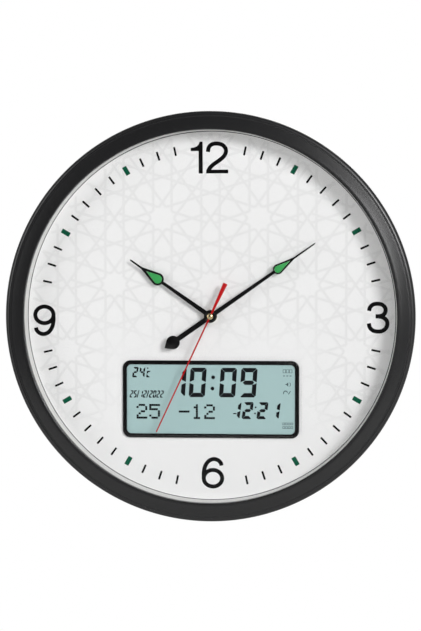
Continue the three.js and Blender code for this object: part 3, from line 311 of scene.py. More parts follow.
def sleeved_cell():
    """A steel cell in a shrunk film sleeve: graphite grey with a warm band at the plus end."""
    material = finish_of("sleeved_cell", rough=(0.22, 0.3, 4), IOR=1.5, Coat_Weight=0.5,
                         Coat_Roughness=0.12)
    tree = material.node_tree
    where = add(tree, "SeparateXYZ", {"Vector": spot(tree)})
    along = add(tree, "MapRange", {
        "Value": where.outputs["X"], "From Min": -0.026, "From Max": 0.026})
    ramp = add(tree, "ValToRGB", {"Fac": along.outputs["Result"]})
    ramp.color_ramp.interpolation = "CONSTANT"
    ramp.color_ramp.elements[0].color = linear("#3A3D41")
    ramp.color_ramp.elements[1].position = 0.74
    ramp.color_ramp.elements[1].color = linear("#A97C3E")
    feed(tree, "Base Color", ramp.outputs["Color"])
    return material


MAKERS = {maker.__name__: maker for maker in (
    satin_abs, float_glass, lattice_ink, turned_brass, enamelled_copper, sleeved_cell)}
made = {}


def finish(name):
    """The material of that name, made once."""
    if name not in made:
        made[name] = MAKERS[name]() if name in MAKERS else finish_of(name, **FINISHES[name])
    return made[name]


# Shapes. A shape is a pair: points in the face frame and faces of point numbers.


def turned(profile, steps, x=0, y=0):
    """A closed profile of [radius, level] points turned about an axis through (x, y)."""
    points, rows = [], []
    for radius, level in profile:
        if radius == 0:
            rows.append([len(points)] * steps)
            points.append((x, y, level))
            continue
        rows.append([len(points) + i for i in range(steps)])
        points += [(*polar(radius, 360 * i / steps, x, y), level) for i in range(steps)]
    faces = []
    for a, b in zip(rows, rows[1:] + rows[:1]):
        for i in range(steps):
            j = (i + 1) % steps
            face = []
            for corner in (a[i], a[j], b[j], b[i]):
                if corner not in face:
                    face.append(corner)
            if len(face) > 2:
                faces.append(face)
    return points, faces


def put(name, data):
    """A new object in the scene."""
    thing = bpy.data.objects.new(name, data)
    bpy.context.scene.collection.objects.link(thing)
    return thing


def plate(outlines, rear, front, bevel=0.0, bevel_steps=2):
    """Closed outlines, holes among them, made thick from rear to front with rounded edges."""
    curve = bpy.data.curves.new("outline", "CURVE")
    curve.dimensions = "2D"
    curve.fill_mode = "BOTH"
    curve.extrude = (front - rear) / 2 - bevel
    curve.bevel_depth = bevel
    curve.bevel_resolution = bevel_steps if bevel else 0
    curve.offset = -bevel
    for outline in outlines:
        spline = curve.splines.new("POLY")
        spline.points.add(len(outline) - 1)
        for point, (x, y) in zip(spline.points, outline):
            point.co = (x, y, 0, 1)
        spline.use_cyclic_u = True
    holder = put("outline", curve)
    solved = holder.evaluated_get(bpy.context.evaluated_depsgraph_get())
    mesh = bpy.data.meshes.new_from_object(solved)
    middle = (rear + front) / 2
    points = [(v.co.x, v.co.y, v.co.z + middle) for v in mesh.vertices]
    faces = [list(p.vertices) for p in mesh.polygons]
    bpy.data.objects.remove(holder)
    bpy.data.curves.remove(curve)
    bpy.data.meshes.remove(mesh)
    return points, faces


def joined(*shapes):
    """Several shapes as one."""
    points, faces = [], []
    for more, sides in shapes:
        start = len(points)
        points += more
        faces += [[start + corner for corner in side] for side in sides]
    return points, faces


def moved(shape, x=0.0, y=0.0, turn=0.0):
    """The shape turned by so many degrees about the hand axis, then moved."""
    points, faces = shape
    c, s = math.cos(math.radians(turn)), math.sin(math.radians(turn))
    return [(px * c - py * s + x, px * s + py * c + y, pz) for px, py, pz in points], faces


def circle(radius, steps, x=0, y=0):
    return [polar(radius, 360 * i / steps, x, y) for i in range(steps)]


def rounded(width, height, corner, x=0, y=0, steps=8):
    points = []
    for cx, cy, start in ((1, 1, 0), (-1, 1, 90), (-1, -1, 180), (1, -1, 270)):
        for i in range(steps + 1):
            points.append(polar(corner, start + 90 * i / steps,
                                x + cx * (width / 2 - corner), y + cy * (height / 2 - corner)))
    return points


def arc(cx, cy, radius, start, end, steps=8, squash=1.0):
    """Points on an arc between two angles in degrees; squash scales its height."""
    points = []
    for i in range(steps + 1):
        px, py = polar(radius, start + (end - start) * i / steps)
        points.append((cx + px, cy + py * squash))
    return points


def ribbon(path, width, level, closed=False):
    """A flat band of even width along a path, as ink lies on card."""
    count = len(path)
    points, faces = [], []
    for i, (x, y) in enumerate(path):
        before = path[i - 1] if i > 0 or closed else path[i]
        after = path[(i + 1) % count] if i < count - 1 or closed else path[i]
        dx, dy = after[0] - before[0], after[1] - before[1]
        length = math.hypot(dx, dy)
        nx, ny = -dy / length * width / 2, dx / length * width / 2
        points += [(x + nx, y + ny, level), (x - nx, y - ny, level)]
    for i in range(count if closed else count - 1):
        j = (i + 1) % count
        faces.append([2 * i, 2 * i + 1, 2 * j + 1, 2 * j])
    return points, faces


def patch(outline, level):
    """A flat patch that is star-shaped about its middle."""
    x = sum(p[0] for p in outline) / len(outline)
    y = sum(p[1] for p in outline) / len(outline)
    points = [(x, y, level)] + [(px, py, level) for px, py in outline]
    count = len(outline)
    return points, [[0, 1 + i, 1 + (i + 1) % count] for i in range(count)]


def smooth_path(points, steps=6):
    """A smooth path through points."""
    out = []
    for i in range(len(points) - 1):
        p0 = points[max(i - 1, 0)]
        p1, p2 = points[i], points[i + 1]
        p3 = points[min(i + 2, len(points) - 1)]
        for j in range(steps):
            t = j / steps
            out.append(tuple(
                0.5 * (2 * b + (c - a) * t + (2 * a - 5 * b + 4 * c - d) * t * t
                       + (3 * b - a - 3 * c + d) * t ** 3)
                for a, b, c, d in zip(p0, p1, p2, p3)))
    return out + [points[-1]]


def mesh_object(name, shape, material):
    points, faces = shape
    mesh = bpy.data.meshes.new(name)
    mesh.from_pydata([place(*point) for point in points], [], faces)
    mesh.materials.append(finish(material))
    return put(name, mesh)


def piece(name, shape, material, stands_for, body="case", sharp=32):
    """Makes a named piece that stands for a CAD node, and fixes it to a body of the clock."""
    made_piece = mesh_object(name, shape, material)
    mesh = made_piece.data
    mesh.validate()
    work = bmesh.new()
    work.from_mesh(mesh)
    bmesh.ops.remove_doubles(work, verts=work.verts, dist=1e-7)
    # Thin slivers across the level faces would catch the light as streaks.
    level = {face for face in work.faces if len(face.verts) == 3 and abs(face.normal.y) > 0.999}
    paired = [edge for edge in work.edges if len(edge.link_faces) == 2]
    inner = [edge for edge in paired if level.issuperset(edge.link_faces)]
    bmesh.ops.beautify_fill(work, faces=list(level), edges=inner, method="ANGLE")
    if paired:
        bmesh.ops.recalc_face_normals(work, faces=work.faces)
    work.to_mesh(mesh)
    work.free()
    # Level faces stay flat, so that no shade runs across them from their rounded edges.
    for polygon in mesh.polygons:
        polygon.use_smooth = abs(polygon.normal.y) < 0.995
    mesh.set_sharp_from_angle(angle=math.radians(sharp))
    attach(made_piece, body)
    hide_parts(stands_for)


def print_piece(name, shape, material):
    """Makes a flat print. It has one side only, which looks out of the dial."""
    points, faces = shape
    outward = []
    for face in faces:
        sides = [(points[face[i - 1]], points[face[i]]) for i in range(len(face))]
        area = sum(a[0] * b[1] - b[0] * a[1] for a, b in sides)
        outward.append(face if area > 0 else face[::-1])
    printed = mesh_object(name, (points, outward), material)
    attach(printed, "case")


# Rim and spacer ring

SHOULDER = 3.6
BAND_OUTER = 161
BAND_WIDTH = 8
BAND_RISE = 1.1
BAND_BOW = 0.07
LIP_RADIUS = 150.1
LENS_SEAT = 40.3
POCKET_RADIUS = 154.8
POCKET_REAR = 35.9
POCKET_OUTER = 157.4
ROOF = 43.4
RING_INNER = 149.8
RING_OUTER = 153
RING_REAR = 26.3
RING_FRONT = 37.7


def rim_profile():
    """The rim's section, from its rear edge over the shoulder and the front band to the lip that
    holds the lens, and back along the inside."""
    shoulder = arc(CASE_RADIUS - SHOULDER, RIM_FRONT - SHOULDER - 1, SHOULDER, 0, 82, 10)
    band = [(BAND_OUTER - BAND_WIDTH * t,
             RIM_FRONT - 1.2 + BAND_RISE * t + 4 * BAND_BOW * t * (1 - t))
            for t in (0, 0.2, 0.4, 0.6, 0.8, 1)]
    lip = arc(LIP_RADIUS + 0.7, RIM_FRONT - 0.75, 0.65, 80, 175, 5)
    return [
        (163.4, RIM_REAR), (164.2, 14), (164.8, 30), *shoulder,
        *band, (152, RIM_FRONT - 0.07), *lip,
        (LIP_RADIUS, RIM_FRONT - 3), (LIP_RADIUS, LENS_SEAT),
        (POCKET_RADIUS, LENS_SEAT), (POCKET_RADIUS, POCKET_REAR),
        (POCKET_OUTER, POCKET_REAR), (POCKET_OUTER, ROOF),
        (160.2, ROOF), (162.2, 41.8), (162, 30), (160.8, RIM_REAR),
    ]


def build_case():
    piece("rim_moulding", turned(rim_profile(), 256), "satin_abs", "rim")
    ring = [(RING_INNER, RING_REAR), (RING_OUTER, RING_REAR), (RING_OUTER, RING_FRONT),
            (RING_INNER + 1, RING_FRONT), (RING_INNER + 0.5, RING_FRONT - 0.5),
            (RING_INNER + 0.1, RING_REAR + 1), (RING_INNER, RING_REAR + 0.6)]
    piece("spacer_ring", turned(ring, 192), "white_styrene", "inner_ring")


# Dial print. Where two prints cross, each lies a hair above the other.

INK = 26.03
OVERLAP_STEP = 0.004
STROKE = 3.35
FIGURE_HEIGHT = 25.7
PRINT_TURN = 0.34
LATTICE_APOTHEM = 33.22
LATTICE_START = (-78.45, 25.5)
LATTICE_REACH = 190
LATTICE_RADIUS = 147.5
LATTICE_LINE = 2.1
LATTICE_LEVEL = DIAL_FRONT + 0.008
LATTICE_STEP = 0.002
LATTICE_GRAIN = 1.6


def star_lines():
    """The ten-pointed star lattice as straight runs. Ten-sided tiles stand on a rhombic lattice;
    each tile corner carries a five-pointed star, whose lines run on into the tile and stop at the
    star round its middle."""
    corner_radius = LATTICE_APOTHEM / math.cos(math.radians(18))
    half_edge = LATTICE_APOTHEM * math.tan(math.radians(18))
    step_x = 4 * LATTICE_APOTHEM * math.cos(math.radians(54))
    step_y = 4 * LATTICE_APOTHEM * math.sin(math.radians(54))
    first_x, first_y = LATTICE_START
    inner = corner_radius - half_edge
    stop = inner * math.sin(math.radians(18)) / math.cos(math.radians(36))
    short = half_edge * math.cos(math.radians(72)) / math.cos(math.radians(36))
    lines, seen = [], set()
    for i, j, half in itertools.product(range(-2, 5), range(-2, 3), (0, 1)):
        cx = first_x + (i + half / 2) * step_x
        cy = first_y + (j + half / 2) * step_y
        if math.hypot(cx, cy) > LATTICE_REACH:
            continue
        for k in range(10):
            direction = 36 * k
            tip = polar(inner, direction, cx, cy)
            lines.append((tip, polar(stop, direction + 36, cx, cy), k % 5))
            lines.append((tip, polar(stop, direction - 36, cx, cy), k % 5 + 5))
            vx, vy = polar(corner_radius, direction, cx, cy)
            key = (round(vx, 1), round(vy, 1))
            if key in seen:
                continue
            seen.add(key)
            for m in range(5):
                foot = direction + 180 + 72 * m
                a = polar(half_edge, foot - 72, vx, vy)
                b = polar(half_edge, foot + 72, vx, vy)
                near = min(a, b, key=lambda end: math.dist(end, (cx, cy)))
                if k in (0, 5) and m in (1, 4):
                    # Two tiles meet point to point here, so this run stops short of the next star.
                    side = -36 if m == 1 else 36
                    lines.append((near, polar(short, foot - side, vx, vy), m))
                elif k in (0, 5) and m in (2, 3):
                    middle = (cx + math.cos(math.radians(direction)) * step_x / 2, cy)
                    lines.append((near, middle, m + 5))
                else:
                    lines.append((a, b, m))
    return lines


def on_dial(x, y):
    """Whether the lattice is printed here: inside its edge and clear of the display."""
    if math.hypot(x, y) > LATTICE_RADIUS:
        return False
    return not (abs(x) < LCD_WIDTH / 2 - 0.5 and abs(y - LCD_Y) < LCD_HEIGHT / 2 - 0.5)


def build_lattice():
    shapes = []
    for a, b, kind in star_lines():
        count = max(2, int(math.dist(a, b) / LATTICE_GRAIN))
        run = []
        for i in range(count + 1):
            t = i / count
            point = (a[0] + (b[0] - a[0]) * t, a[1] + (b[1] - a[1]) * t)
            if on_dial(*point):
                run.append(point)
            elif len(run) > 1:
                break
            else:
                run = []
        if len(run) > 1:
            level = LATTICE_LEVEL + LATTICE_STEP * kind
            shapes.append(ribbon([run[0], run[-1]], LATTICE_LINE, level))
    print_piece("star_lattice", joined(*shapes), "lattice_ink")


def figure_one():
    outline = [(6.4, 0), (9.75, 0), (9.75, FIGURE_HEIGHT), (7.3, FIGURE_HEIGHT), (6.5, 23.5),
               (4.9, 21.9), (2.6, 21.0), (0, 20.7), (0, 18.1), (6.4, 18.1)]
    return [(x, y, INK) for x, y in outline], [list(range(len(outline)))]


def figure_two():
    curve = smooth_path([(1.75, 17.3), (2.5, 20.9), (5.0, 23.4), (9.0, 24.05), (13.3, 23.0),
                         (16.1, 19.9), (16.1, 16.4), (14.1, 13.2), (10.5, 10.2), (6.4, 7.4),
                         (3.3, 4.4), (2.0, 1.7)])
    base = ribbon([(0.3, 1.5), (18.1, 1.5)], 3.0, INK + OVERLAP_STEP)
    return joined(ribbon(curve, STROKE, INK), base)


def figure_three():
    upper = smooth_path([(1.9, 18.3), (2.9, 21.4), (5.4, 23.5), (8.9, 24.05), (12.6, 23.2),
                         (14.9, 20.8), (15.1, 17.7), (13.4, 15.1), (10.2, 14.0), (7.2, 13.9)])
    lower = smooth_path([(9.2, 13.9), (13.1, 13.0), (16.0, 10.6), (16.6, 7.4), (15.4, 4.3),
                         (12.6, 2.2), (8.9, 1.65), (5.1, 2.5), (2.6, 4.9), (1.7, 8.3)])
    return joined(ribbon(upper, STROKE, INK), ribbon(lower, STROKE, INK + OVERLAP_STEP))


def figure_six(flip=False):
    """The six or, turned upside down within its width, the nine."""
    bowl = arc(9.2, 8.4, 7.5, 0, 360, 40, 0.9)[:-1]
    stem = smooth_path([(1.75, 9.4), (1.8, 13.4), (3.0, 18.5), (5.9, 22.5), (9.8, 24.05),
                        (13.3, 23.2), (15.6, 20.9), (16.2, 18.7)])
    if flip:
        width = 18.5
        bowl, stem = ([(width - x, FIGURE_HEIGHT - y) for x, y in path] for path in (bowl, stem))
    return joined(ribbon(bowl, STROKE, INK, closed=True),
                  ribbon(stem, STROKE, INK + OVERLAP_STEP))


def bar(inner, outer, width, degrees):
    """A printed mark along a radius, so many degrees clockwise from twelve."""
    outline = rounded(width, outer - inner, 0.3, 0, (inner + outer) / 2, 2)
    return moved(patch(outline, INK), turn=PRINT_TURN - degrees)


def build_print():
    build_lattice()
    # The minute marks leave out those that the four figures cover.
    covered = (59, 1, 14, 16, 29, 31, 44, 46)
    minutes = [m for m in range(60) if m % 5 and m not in covered]
    ticks = [bar(132.5, 139.8, 1.65, 6 * m) for m in minutes]
    print_piece("minute_marks", joined(*ticks), "figure_ink")
    hours = [bar(132.4, 139.8, 3.7, 30 * h) for h in range(12) if h % 3]
    print_piece("hour_bars", joined(*hours), "bar_ink")
    # Painted shadow: a thin black ring on the dial at the spacer ring's foot stands in for the
    # shade in the gap where the ring meets the dial.
    edge = ribbon(circle(149.3, 240), 0.55, INK, closed=True)
    print_piece("ring_foot_shadow_line", edge, "figure_ink")
    figures = joined(
        moved(figure_one(), -15.6, 115.3), moved(figure_two(), -3.4, 115.3),
        moved(figure_three(), 125.8, -14.4), moved(figure_six(), -8.3, -140.3),
        moved(figure_six(flip=True), -145.3, -16.0))
    print_piece("dial_figures", moved(figures, turn=PRINT_TURN), "figure_ink")


# Display. Its print is laid out in millimetres from the middle of the display.

PRINT = GLASS_FRONT + 0.03
BEZEL_REAR = 26.3
BEZEL_FRONT = 27.9
BEZEL_BAND = 3.3
BODY_REAR = 18.8
BODY_FRONT = 26.9
BODY_WIDTH = 141.5
BODY_HEIGHT = 61
BODY_WALL = 0.9

SEGMENTS = {"0": "abcdef", "1": "bc", "2": "abged", "4": "fgbc", "5": "afgcd", "9": "abcdfg",
            "c": "afed"}
DOTS = {
    "1": ["00100", "01100", "00100", "00100", "00100", "00100", "01110"],
    "2": ["01110", "10001", "00001", "00110", "01000", "10000", "11111"],
    "5": ["11111", "10000", "11110", "00001", "00001", "10001", "01110"],
    "-": ["00000", "00000", "00000", "11111", "00000", "00000", "00000"],
}
# Width, height, thickness and lean of each kind of seven-bar figure
CLOCK_STYLE = (13.2, 23.9, 3.5, 0.07)
WARMTH_STYLE = (4.4, 8.4, 1.45, 0.12)
DEGREE_STYLE = (3.3, 5.4, 1.15, 0.12)
DATE_STYLE = (2.6, 5.9, 1.0, 0.16)
PRAYER_STYLE = (8.1, 13.8, 2.5, 0.13)
# Height over the middle and style of each row, and the left edge of each of its figures
SEGMENT_ROWS = (
    (1.7, CLOCK_STYLE, (("1", -34.3), ("0", -18.1), ("0", 6.5), ("9", 23.2))),
    (17.5, WARMTH_STYLE, (("2", -64.2), ("4", -58.6))),
    (17.5, DEGREE_STYLE, (("c", -52.7),)),
    (-15.9, PRAYER_STYLE, (("1", 15.2), ("2", 25.0), ("2", 37.0), ("1", 46.9))),
)
# Radius, place and corners of each round dot
ROUND_DOTS = ((1.55, 1.9, 17.9, 16), (1.55, 1.3, 8.7, 16), (0.6, -51.4, 25.0, 10),
              (0.7, 36.4, -6.3, 10), (0.7, 35.9, -11.2, 10))
DOT_FIGURES = (("2", -60.6), ("5", -50.2), ("-", -26.1), ("1", -15.75), ("2", -5.4))
DOT_ROW = -16.2
DOT_WIDTH = 8.8
DOT_HEIGHT = 12.1


def segment_figure(symbol, x, y, style):
    """The lit bars of one leaning seven-bar figure, each with its ends cut at a slant."""
    width, height, thick, lean = style
    half = height / 2
    gap, middle_gap, cut = 0.03 * thick, 0.1 * thick, 0.4 * thick
    top = [(gap + cut, height), (width - gap - cut, height),
           (width - gap - cut / 2, height - cut / 2), (width - thick - gap, height - thick),
           (thick + gap, height - thick), (gap + cut / 2, height - cut / 2)]
    upper = [(0, height - gap - cut), (cut / 2, height - gap - cut / 2),
             (thick, height - thick - gap), (thick, half + thick / 2 + gap),
             (0, half + middle_gap)]
    middle = [(gap + thick / 2, half), (gap + thick, half + thick / 2),
              (width - thick - gap, half + thick / 2), (width - gap - thick / 2, half),
              (width - thick - gap, half - thick / 2), (gap + thick, half - thick / 2)]
    right = [(width - px, py) for px, py in upper]
    bars = {"a": top, "b": right, "f": upper, "g": middle}
    for low, high in (("c", "b"), ("d", "a"), ("e", "f")):
        bars[low] = [(px, height - py) for px, py in bars[high]]
    return joined(*[patch([(x + px + py * lean, y + py) for px, py in bars[key]], PRINT)
                    for key in SEGMENTS[symbol]])


def dot_figure(symbol, x):
    """A five by seven figure of small squares that nearly touch."""
    shapes = []
    across, up = DOT_WIDTH / 5, DOT_HEIGHT / 7
    for row, text in enumerate(DOTS[symbol]):
        for column, lit in enumerate(text):
            if lit == "1":
                outline = rounded(across * 0.98, up * 0.98, across * 0.1,
                                  x + (column + 0.5) * across,
                                  DOT_ROW + DOT_HEIGHT - (row + 0.5) * up, 1)
                shapes.append(patch(outline, PRINT))
    return joined(*shapes)


def date_figures():
    """The small date, set figure by figure."""
    shapes, x = [], -66.4
    for symbol in "25/12/2022":
        if symbol == "/":
            shapes.append(ribbon([(x + 0.2, 1.0), (x + 1.9, 6.9)], 0.8, PRINT))
            x += 1.9
        else:
            shapes.append(segment_figure(symbol, x, 1.0, DATE_STYLE))
            x += 3.0
    return shapes


def sign_box(x, y, width, height):
    """A small outlined sign at rest."""
    outline = [(x, y), (x + width, y), (x + width, y + height), (x, y + height)]
    return ribbon(outline, 0.55, PRINT, closed=True)


def resting_signs():
    """Boxes, a horn with its sound, a wave and two rows of boxes at the right edge."""
    columns = (58.6, 61.2, 63.8)
    horn = [(60.2, 12.4), (61.4, 12.9), (62.8, 14.2), (62.8, 10.6), (61.4, 11.9)]
    return [
        *[sign_box(x, 21.8, 2.0, 2.6) for x in columns],
        *[ribbon([(x, 19.3), (x + 1.6, 19.3)], 0.7, PRINT) for x in columns],
        patch(horn, PRINT),
        ribbon(arc(62.6, 12.4, 2.0, -50, 50), 0.5, PRINT),
        ribbon([*arc(60.6, 5.6, 1.5, 0, 180), (58.8, 4.6)], 0.8, PRINT),
        ribbon([(62.9, 4.4), (64.6, 7.0)], 0.7, PRINT),
        *[sign_box(x, y, 1.5, 1.6) for x in (58.4, 60.6, 62.8, 65.0) for y in (-20.4, -23.4)]]


def build_display():
    edge = rounded(LCD_WIDTH, LCD_HEIGHT, 6.2, 0, LCD_Y, 12)
    window = rounded(LCD_WIDTH - 2 * BEZEL_BAND, LCD_HEIGHT - 2 * BEZEL_BAND, 3.9, 0, LCD_Y, 12)
    wall = rounded(BODY_WIDTH, BODY_HEIGHT, 5.3, 0, LCD_Y, 10)
    room = rounded(BODY_WIDTH - 2 * BODY_WALL, BODY_HEIGHT - 2 * BODY_WALL, 4.8, 0, LCD_Y, 10)
    bezel = plate([edge, window[::-1]], BEZEL_REAR, BEZEL_FRONT, 0.55, 4)
    skirt = plate([wall, room[::-1]], BODY_REAR, BODY_FRONT)
    piece("display_bezel", joined(bezel, skirt), "gloss_abs", "lcd_frame")
    lit = [segment_figure(symbol, x, y, style)
           for y, style, figures in SEGMENT_ROWS for symbol, x in figures]
    lit += [patch(circle(radius, corners, x, y), PRINT) for radius, x, y, corners in ROUND_DOTS]
    lit += [dot_figure(symbol, x) for symbol, x in DOT_FIGURES]
    lit += [*date_figures(), ribbon([(18.2, -11.5), (20.8, -11.5)], 0.9, PRINT)]
    print_piece("display_figures", moved(joined(*lit), y=LCD_Y), "crystal_mark")
    print_piece("display_signs", moved(joined(*resting_signs()), y=LCD_Y), "crystal_rest")


# Hands. A hand is drawn pointing to twelve, and places along it are distances from the axis.

HAND_THICKNESS = 0.6
HUB_RADIUS = 5.2
BORE_PLAY = 0.05
COLLAR_STEP = 1.4


def drop_side(centre, radius, end_half, end_at, enter_half, steps=18):
    """The right side of a drop: round from where the arm enters it, then straight to its end."""
    lean = math.degrees(math.asin((radius - end_half) / (end_at - centre)))
    start = -90 + math.degrees(math.asin(enter_half / radius))
    return arc(0, centre, radius, start, lean, steps) + [(end_half, end_at)]


def both_sides(half):
    return half + [(-x, y) for x, y in reversed(half) if x > 0]


def hole(radius, steps=32):
    return circle(radius, steps)[::-1]


def arm_foot(width):
    """Where an arm of this width leaves the hub: its height and its angle."""
    height = math.sqrt(HUB_RADIUS * HUB_RADIUS - width * width / 4)
    return height, math.degrees(math.acos(width / 2 / HUB_RADIUS))


def build_hand(name, *, rear, bore, turn, arm, arm_end, drop_at, drop_radius, neck_at, neck, tip,
               tip_width, inlay_radius, inlay_end, tail=None):
    """A stamped hand with a drop, its luminous inlay and its pressed hub. The arm narrows from
    arm to arm_end, and the point from neck to tip_width. tail gives the counterweight's end,
    arm, place and radius."""
    front = rear + HAND_THICKNESS
    foot, top_angle = arm_foot(arm)
    right = [(arm / 2, foot), *drop_side(drop_at, drop_radius, neck / 2, neck_at, arm_end / 2),
             (tip_width / 2, tip - tip_width / 2), (tip_width / 4, tip)]
    left = [(-x, y) for x, y in reversed(right)]
    if tail:
        tail_end, tail_arm, weight_at, weight_radius = tail
        tail_foot, low_angle = arm_foot(tail_arm)
        side = [(tail_arm / 2, tail_foot),
                *drop_side(weight_at, weight_radius, 0.15, tail_end, tail_arm / 2)]
        below = [(-x, -y) for x, y in side] + [(x, -y) for x, y in reversed(side)]
        hub_left = arc(0, 0, HUB_RADIUS, 180 - top_angle, 180 + low_angle, 10)[1:-1]
        hub_right = arc(0, 0, HUB_RADIUS, -low_angle, top_angle, 10)[1:-1]
        outline = right + left + hub_left + below + hub_right
    else:
        hub = arc(0, 0, HUB_RADIUS, 180 - top_angle, 360 + top_angle, 40)[1:-1]
        outline = right + left + hub
    inlay_hole = both_sides(drop_side(drop_at, inlay_radius, 0.12, inlay_end, 0.01))
    blank = plate([outline, inlay_hole[::-1], hole(bore + BORE_PLAY)], rear, front, 0.16)
    collar = HUB_RADIUS - COLLAR_STEP
    hub = turned([(bore + BORE_PLAY, front - 0.05), (collar, front - 0.05), (collar, front + 0.25),
                  (collar - 0.3, front + 0.45), (bore + BORE_PLAY, front + 0.45)], 48)
    piece(f"{name}_hand_stamping", moved(joined(blank, hub), turn=-turn), "black_enamel",
          f"{name}_hand", f"{name}_shaft")
    fill = both_sides(drop_side(drop_at, inlay_radius - 0.04, 0.1, inlay_end - 0.2, 0.01))
    piece(f"{name}_hand_lume", moved(plate([fill], rear + 0.1, rear + 0.5, 0.08), turn=-turn),
          "luminous_paint", f"{name}_inlay", f"{name}_shaft")


def build_second_hand():
    rear, front = 34.6, 34.6 + HAND_THICKNESS
    tip, tail, bore, turn = 103.3, 29.5, 0.5, 205
    hub = 2.2
    outline = [(0.5, tip - 0.3), (0.2, tip), (-0.2, tip), (-0.5, tip - 0.3), (-0.65, 2.1),
               *arc(0, 0, hub, 110, 250, 10), (-1.85, -tail + 0.3), (-1.55, -tail), (1.55, -tail),
               (1.85, -tail + 0.3), *arc(0, 0, hub, -70, 70, 10), (0.65, 2.1)]
    blade = plate([outline, hole(bore, 16)], rear, front, 0.1)
    piece("second_hand_stamping", moved(blade, turn=-turn), "red_enamel",
          "second_hand", "second_shaft")
    radius, seat, edge = 2.5, front + 0.05, front + 0.45
    dome = [(radius * math.cos(t * 0.1571), edge + math.sin(t * 0.1571)) for t in range(1, 10)]
    cap = [(bore, seat), (radius, seat), (radius, edge), *dome, (0, edge + 1), (0, edge + 0.45),
           (bore, edge + 0.45)]
    piece("second_hand_cap", turned(cap, 48), "turned_brass", "second_cap",
          "second_shaft")


def build_hands():
    build_hand("hour", rear=30.2, bore=2.3, turn=304.9, arm=3.75, arm_end=2.5, drop_at=52.3,
               drop_radius=5.1, neck_at=68, neck=1.7, tip=79.6, tip_width=1.3, inlay_radius=3.5,
               inlay_end=63.2)
    build_hand("minute", rear=32.4, bore=1.3, turn=55, arm=3.75, arm_end=2.5, drop_at=66.7,
               drop_radius=4.1, neck_at=82, neck=1.5, tip=103.1, tip_width=1.1,
               inlay_radius=2.85, inlay_end=78.4, tail=(45.1, 4.1, 36.9, 5.5))
    build_second_hand()


# Back cover, its screws, keys and door

COVER_RADIUS = 163.4
WINDOW = 59.6
WINDOW_CORNER = 6.8
WINDOW_WALL = 1.8
BAY_LENGTH = 55.3
BAY_HEIGHT = 30.8
BAY_WALL = 1.6
BAY_FLOOR = 18.6
DOOR_WIDTH = 61.3
DOOR_HEIGHT = 36.8
DOOR_CORNER = 3
DOOR_TRAVEL = 12
DOOR_PLAY = 0.25
RECESS_REAR = 3.9
BOSS_CIRCLE = 158.7
SPEAKER = (-88, 2)
SPEAKER_REACH = 22.5
SLOT_PITCH = 6.6
SLOT_WIDTH = 2.4
RIB_REAR = 4.75
RAIL_FRONT = 6.2


def circles_at_keys(radius):
    return [circle(radius, 32, KEY_PITCH * i, KEY_Y) for i in range(-3, 2)]


def door_recess(play):
    """The door's recess in the skin, as long as the door and its travel."""
    return (DOOR_WIDTH + 2 * play, DOOR_HEIGHT + DOOR_TRAVEL + 2 * play)


def cover_openings():
    """Outlines of all that goes through the back skin."""
    keyhole = arc(0, 124, 2.25, 0, 180, 12) + arc(0, 112, 5, 180 - 63.3, 360 + 63.3, 32)
    openings = [rounded(WINDOW, WINDOW, WINDOW_CORNER), keyhole]
    for row in range(-3, 4):
        lift = SLOT_PITCH * row
        length = 2 * math.sqrt(SPEAKER_REACH * SPEAKER_REACH - lift ** 2) - SLOT_WIDTH
        openings.append(rounded(length, SLOT_WIDTH, 1.1, SPEAKER[0], SPEAKER[1] + lift, 4))
    openings += circles_at_keys(4.65)
    openings.append(rounded(12, 4, 0.6, SWITCH_X, KEY_Y, 3))
    openings += [circle(1.45, 16, *polar(BOSS_CIRCLE, angle)) for angle in SCREW_ANGLES]
    openings.append(rounded(*door_recess(DOOR_PLAY), DOOR_CORNER, 0, BAY_Y - DOOR_TRAVEL / 2))
    return openings


def build_cover():
    skin = plate([circle(COVER_RADIUS, 256), *[o[::-1] for o in cover_openings()]],
                 COVER_REAR, COVER_FRONT, 0.45, 3)
    foot_base = 2.06
    foot = turned([(148, foot_base), (148.2, 0.6), (148.9, 0), (153.1, 0), (153.8, 0.6),
                   (154, foot_base)], 192)
    press_ring = turned([(147.2, 4.8), (147.2, 24.75), (149, 24.75), (149, 4.8)], 192)
    window = rounded(WINDOW, WINDOW, WINDOW_CORNER)
    window_wall = rounded(WINDOW + 2 * WINDOW_WALL, WINDOW + 2 * WINDOW_WALL,
                          WINDOW_CORNER + WINDOW_WALL)
    skirt = plate([window_wall, window[::-1]], 4.6, 10.8)
    bay = rounded(BAY_LENGTH, BAY_HEIGHT, BAY_WALL, 0, BAY_Y)
    bay_outer = rounded(BAY_LENGTH + 2 * BAY_WALL, BAY_HEIGHT + 2 * BAY_WALL, BAY_WALL, 0, BAY_Y)
    recess = rounded(*door_recess(0.45), 3.2, 0, BAY_Y - DOOR_TRAVEL / 2)
    tray = plate([recess, bay[::-1]], RECESS_REAR, 4.9)
    tub = plate([bay_outer, bay[::-1]], 4.8, BAY_FLOOR)
    floor = plate([bay_outer], BAY_FLOOR, BAY_FLOOR + BAY_WALL)
    speaker_ring = turned([(28.75, RIB_REAR), (30.55, RIB_REAR), (30.55, 9), (28.75, 9)], 64,
                          *SPEAKER)
    rail_edge = rounded(7 * KEY_PITCH, 24, 6, 0, KEY_Y)
    switch_room = rounded(22.5, 8.5, 0.5, SWITCH_X, KEY_Y, 2)
    rail = plate([rail_edge, *[o[::-1] for o in circles_at_keys(6.25)], switch_room[::-1]],
                 RIB_REAR, RAIL_FRONT)
    shape = joined(skin, foot, press_ring, skirt, tray, tub, floor, speaker_ring, rail)
    piece("back_cover_moulding", shape, "back_abs", "back_cover")


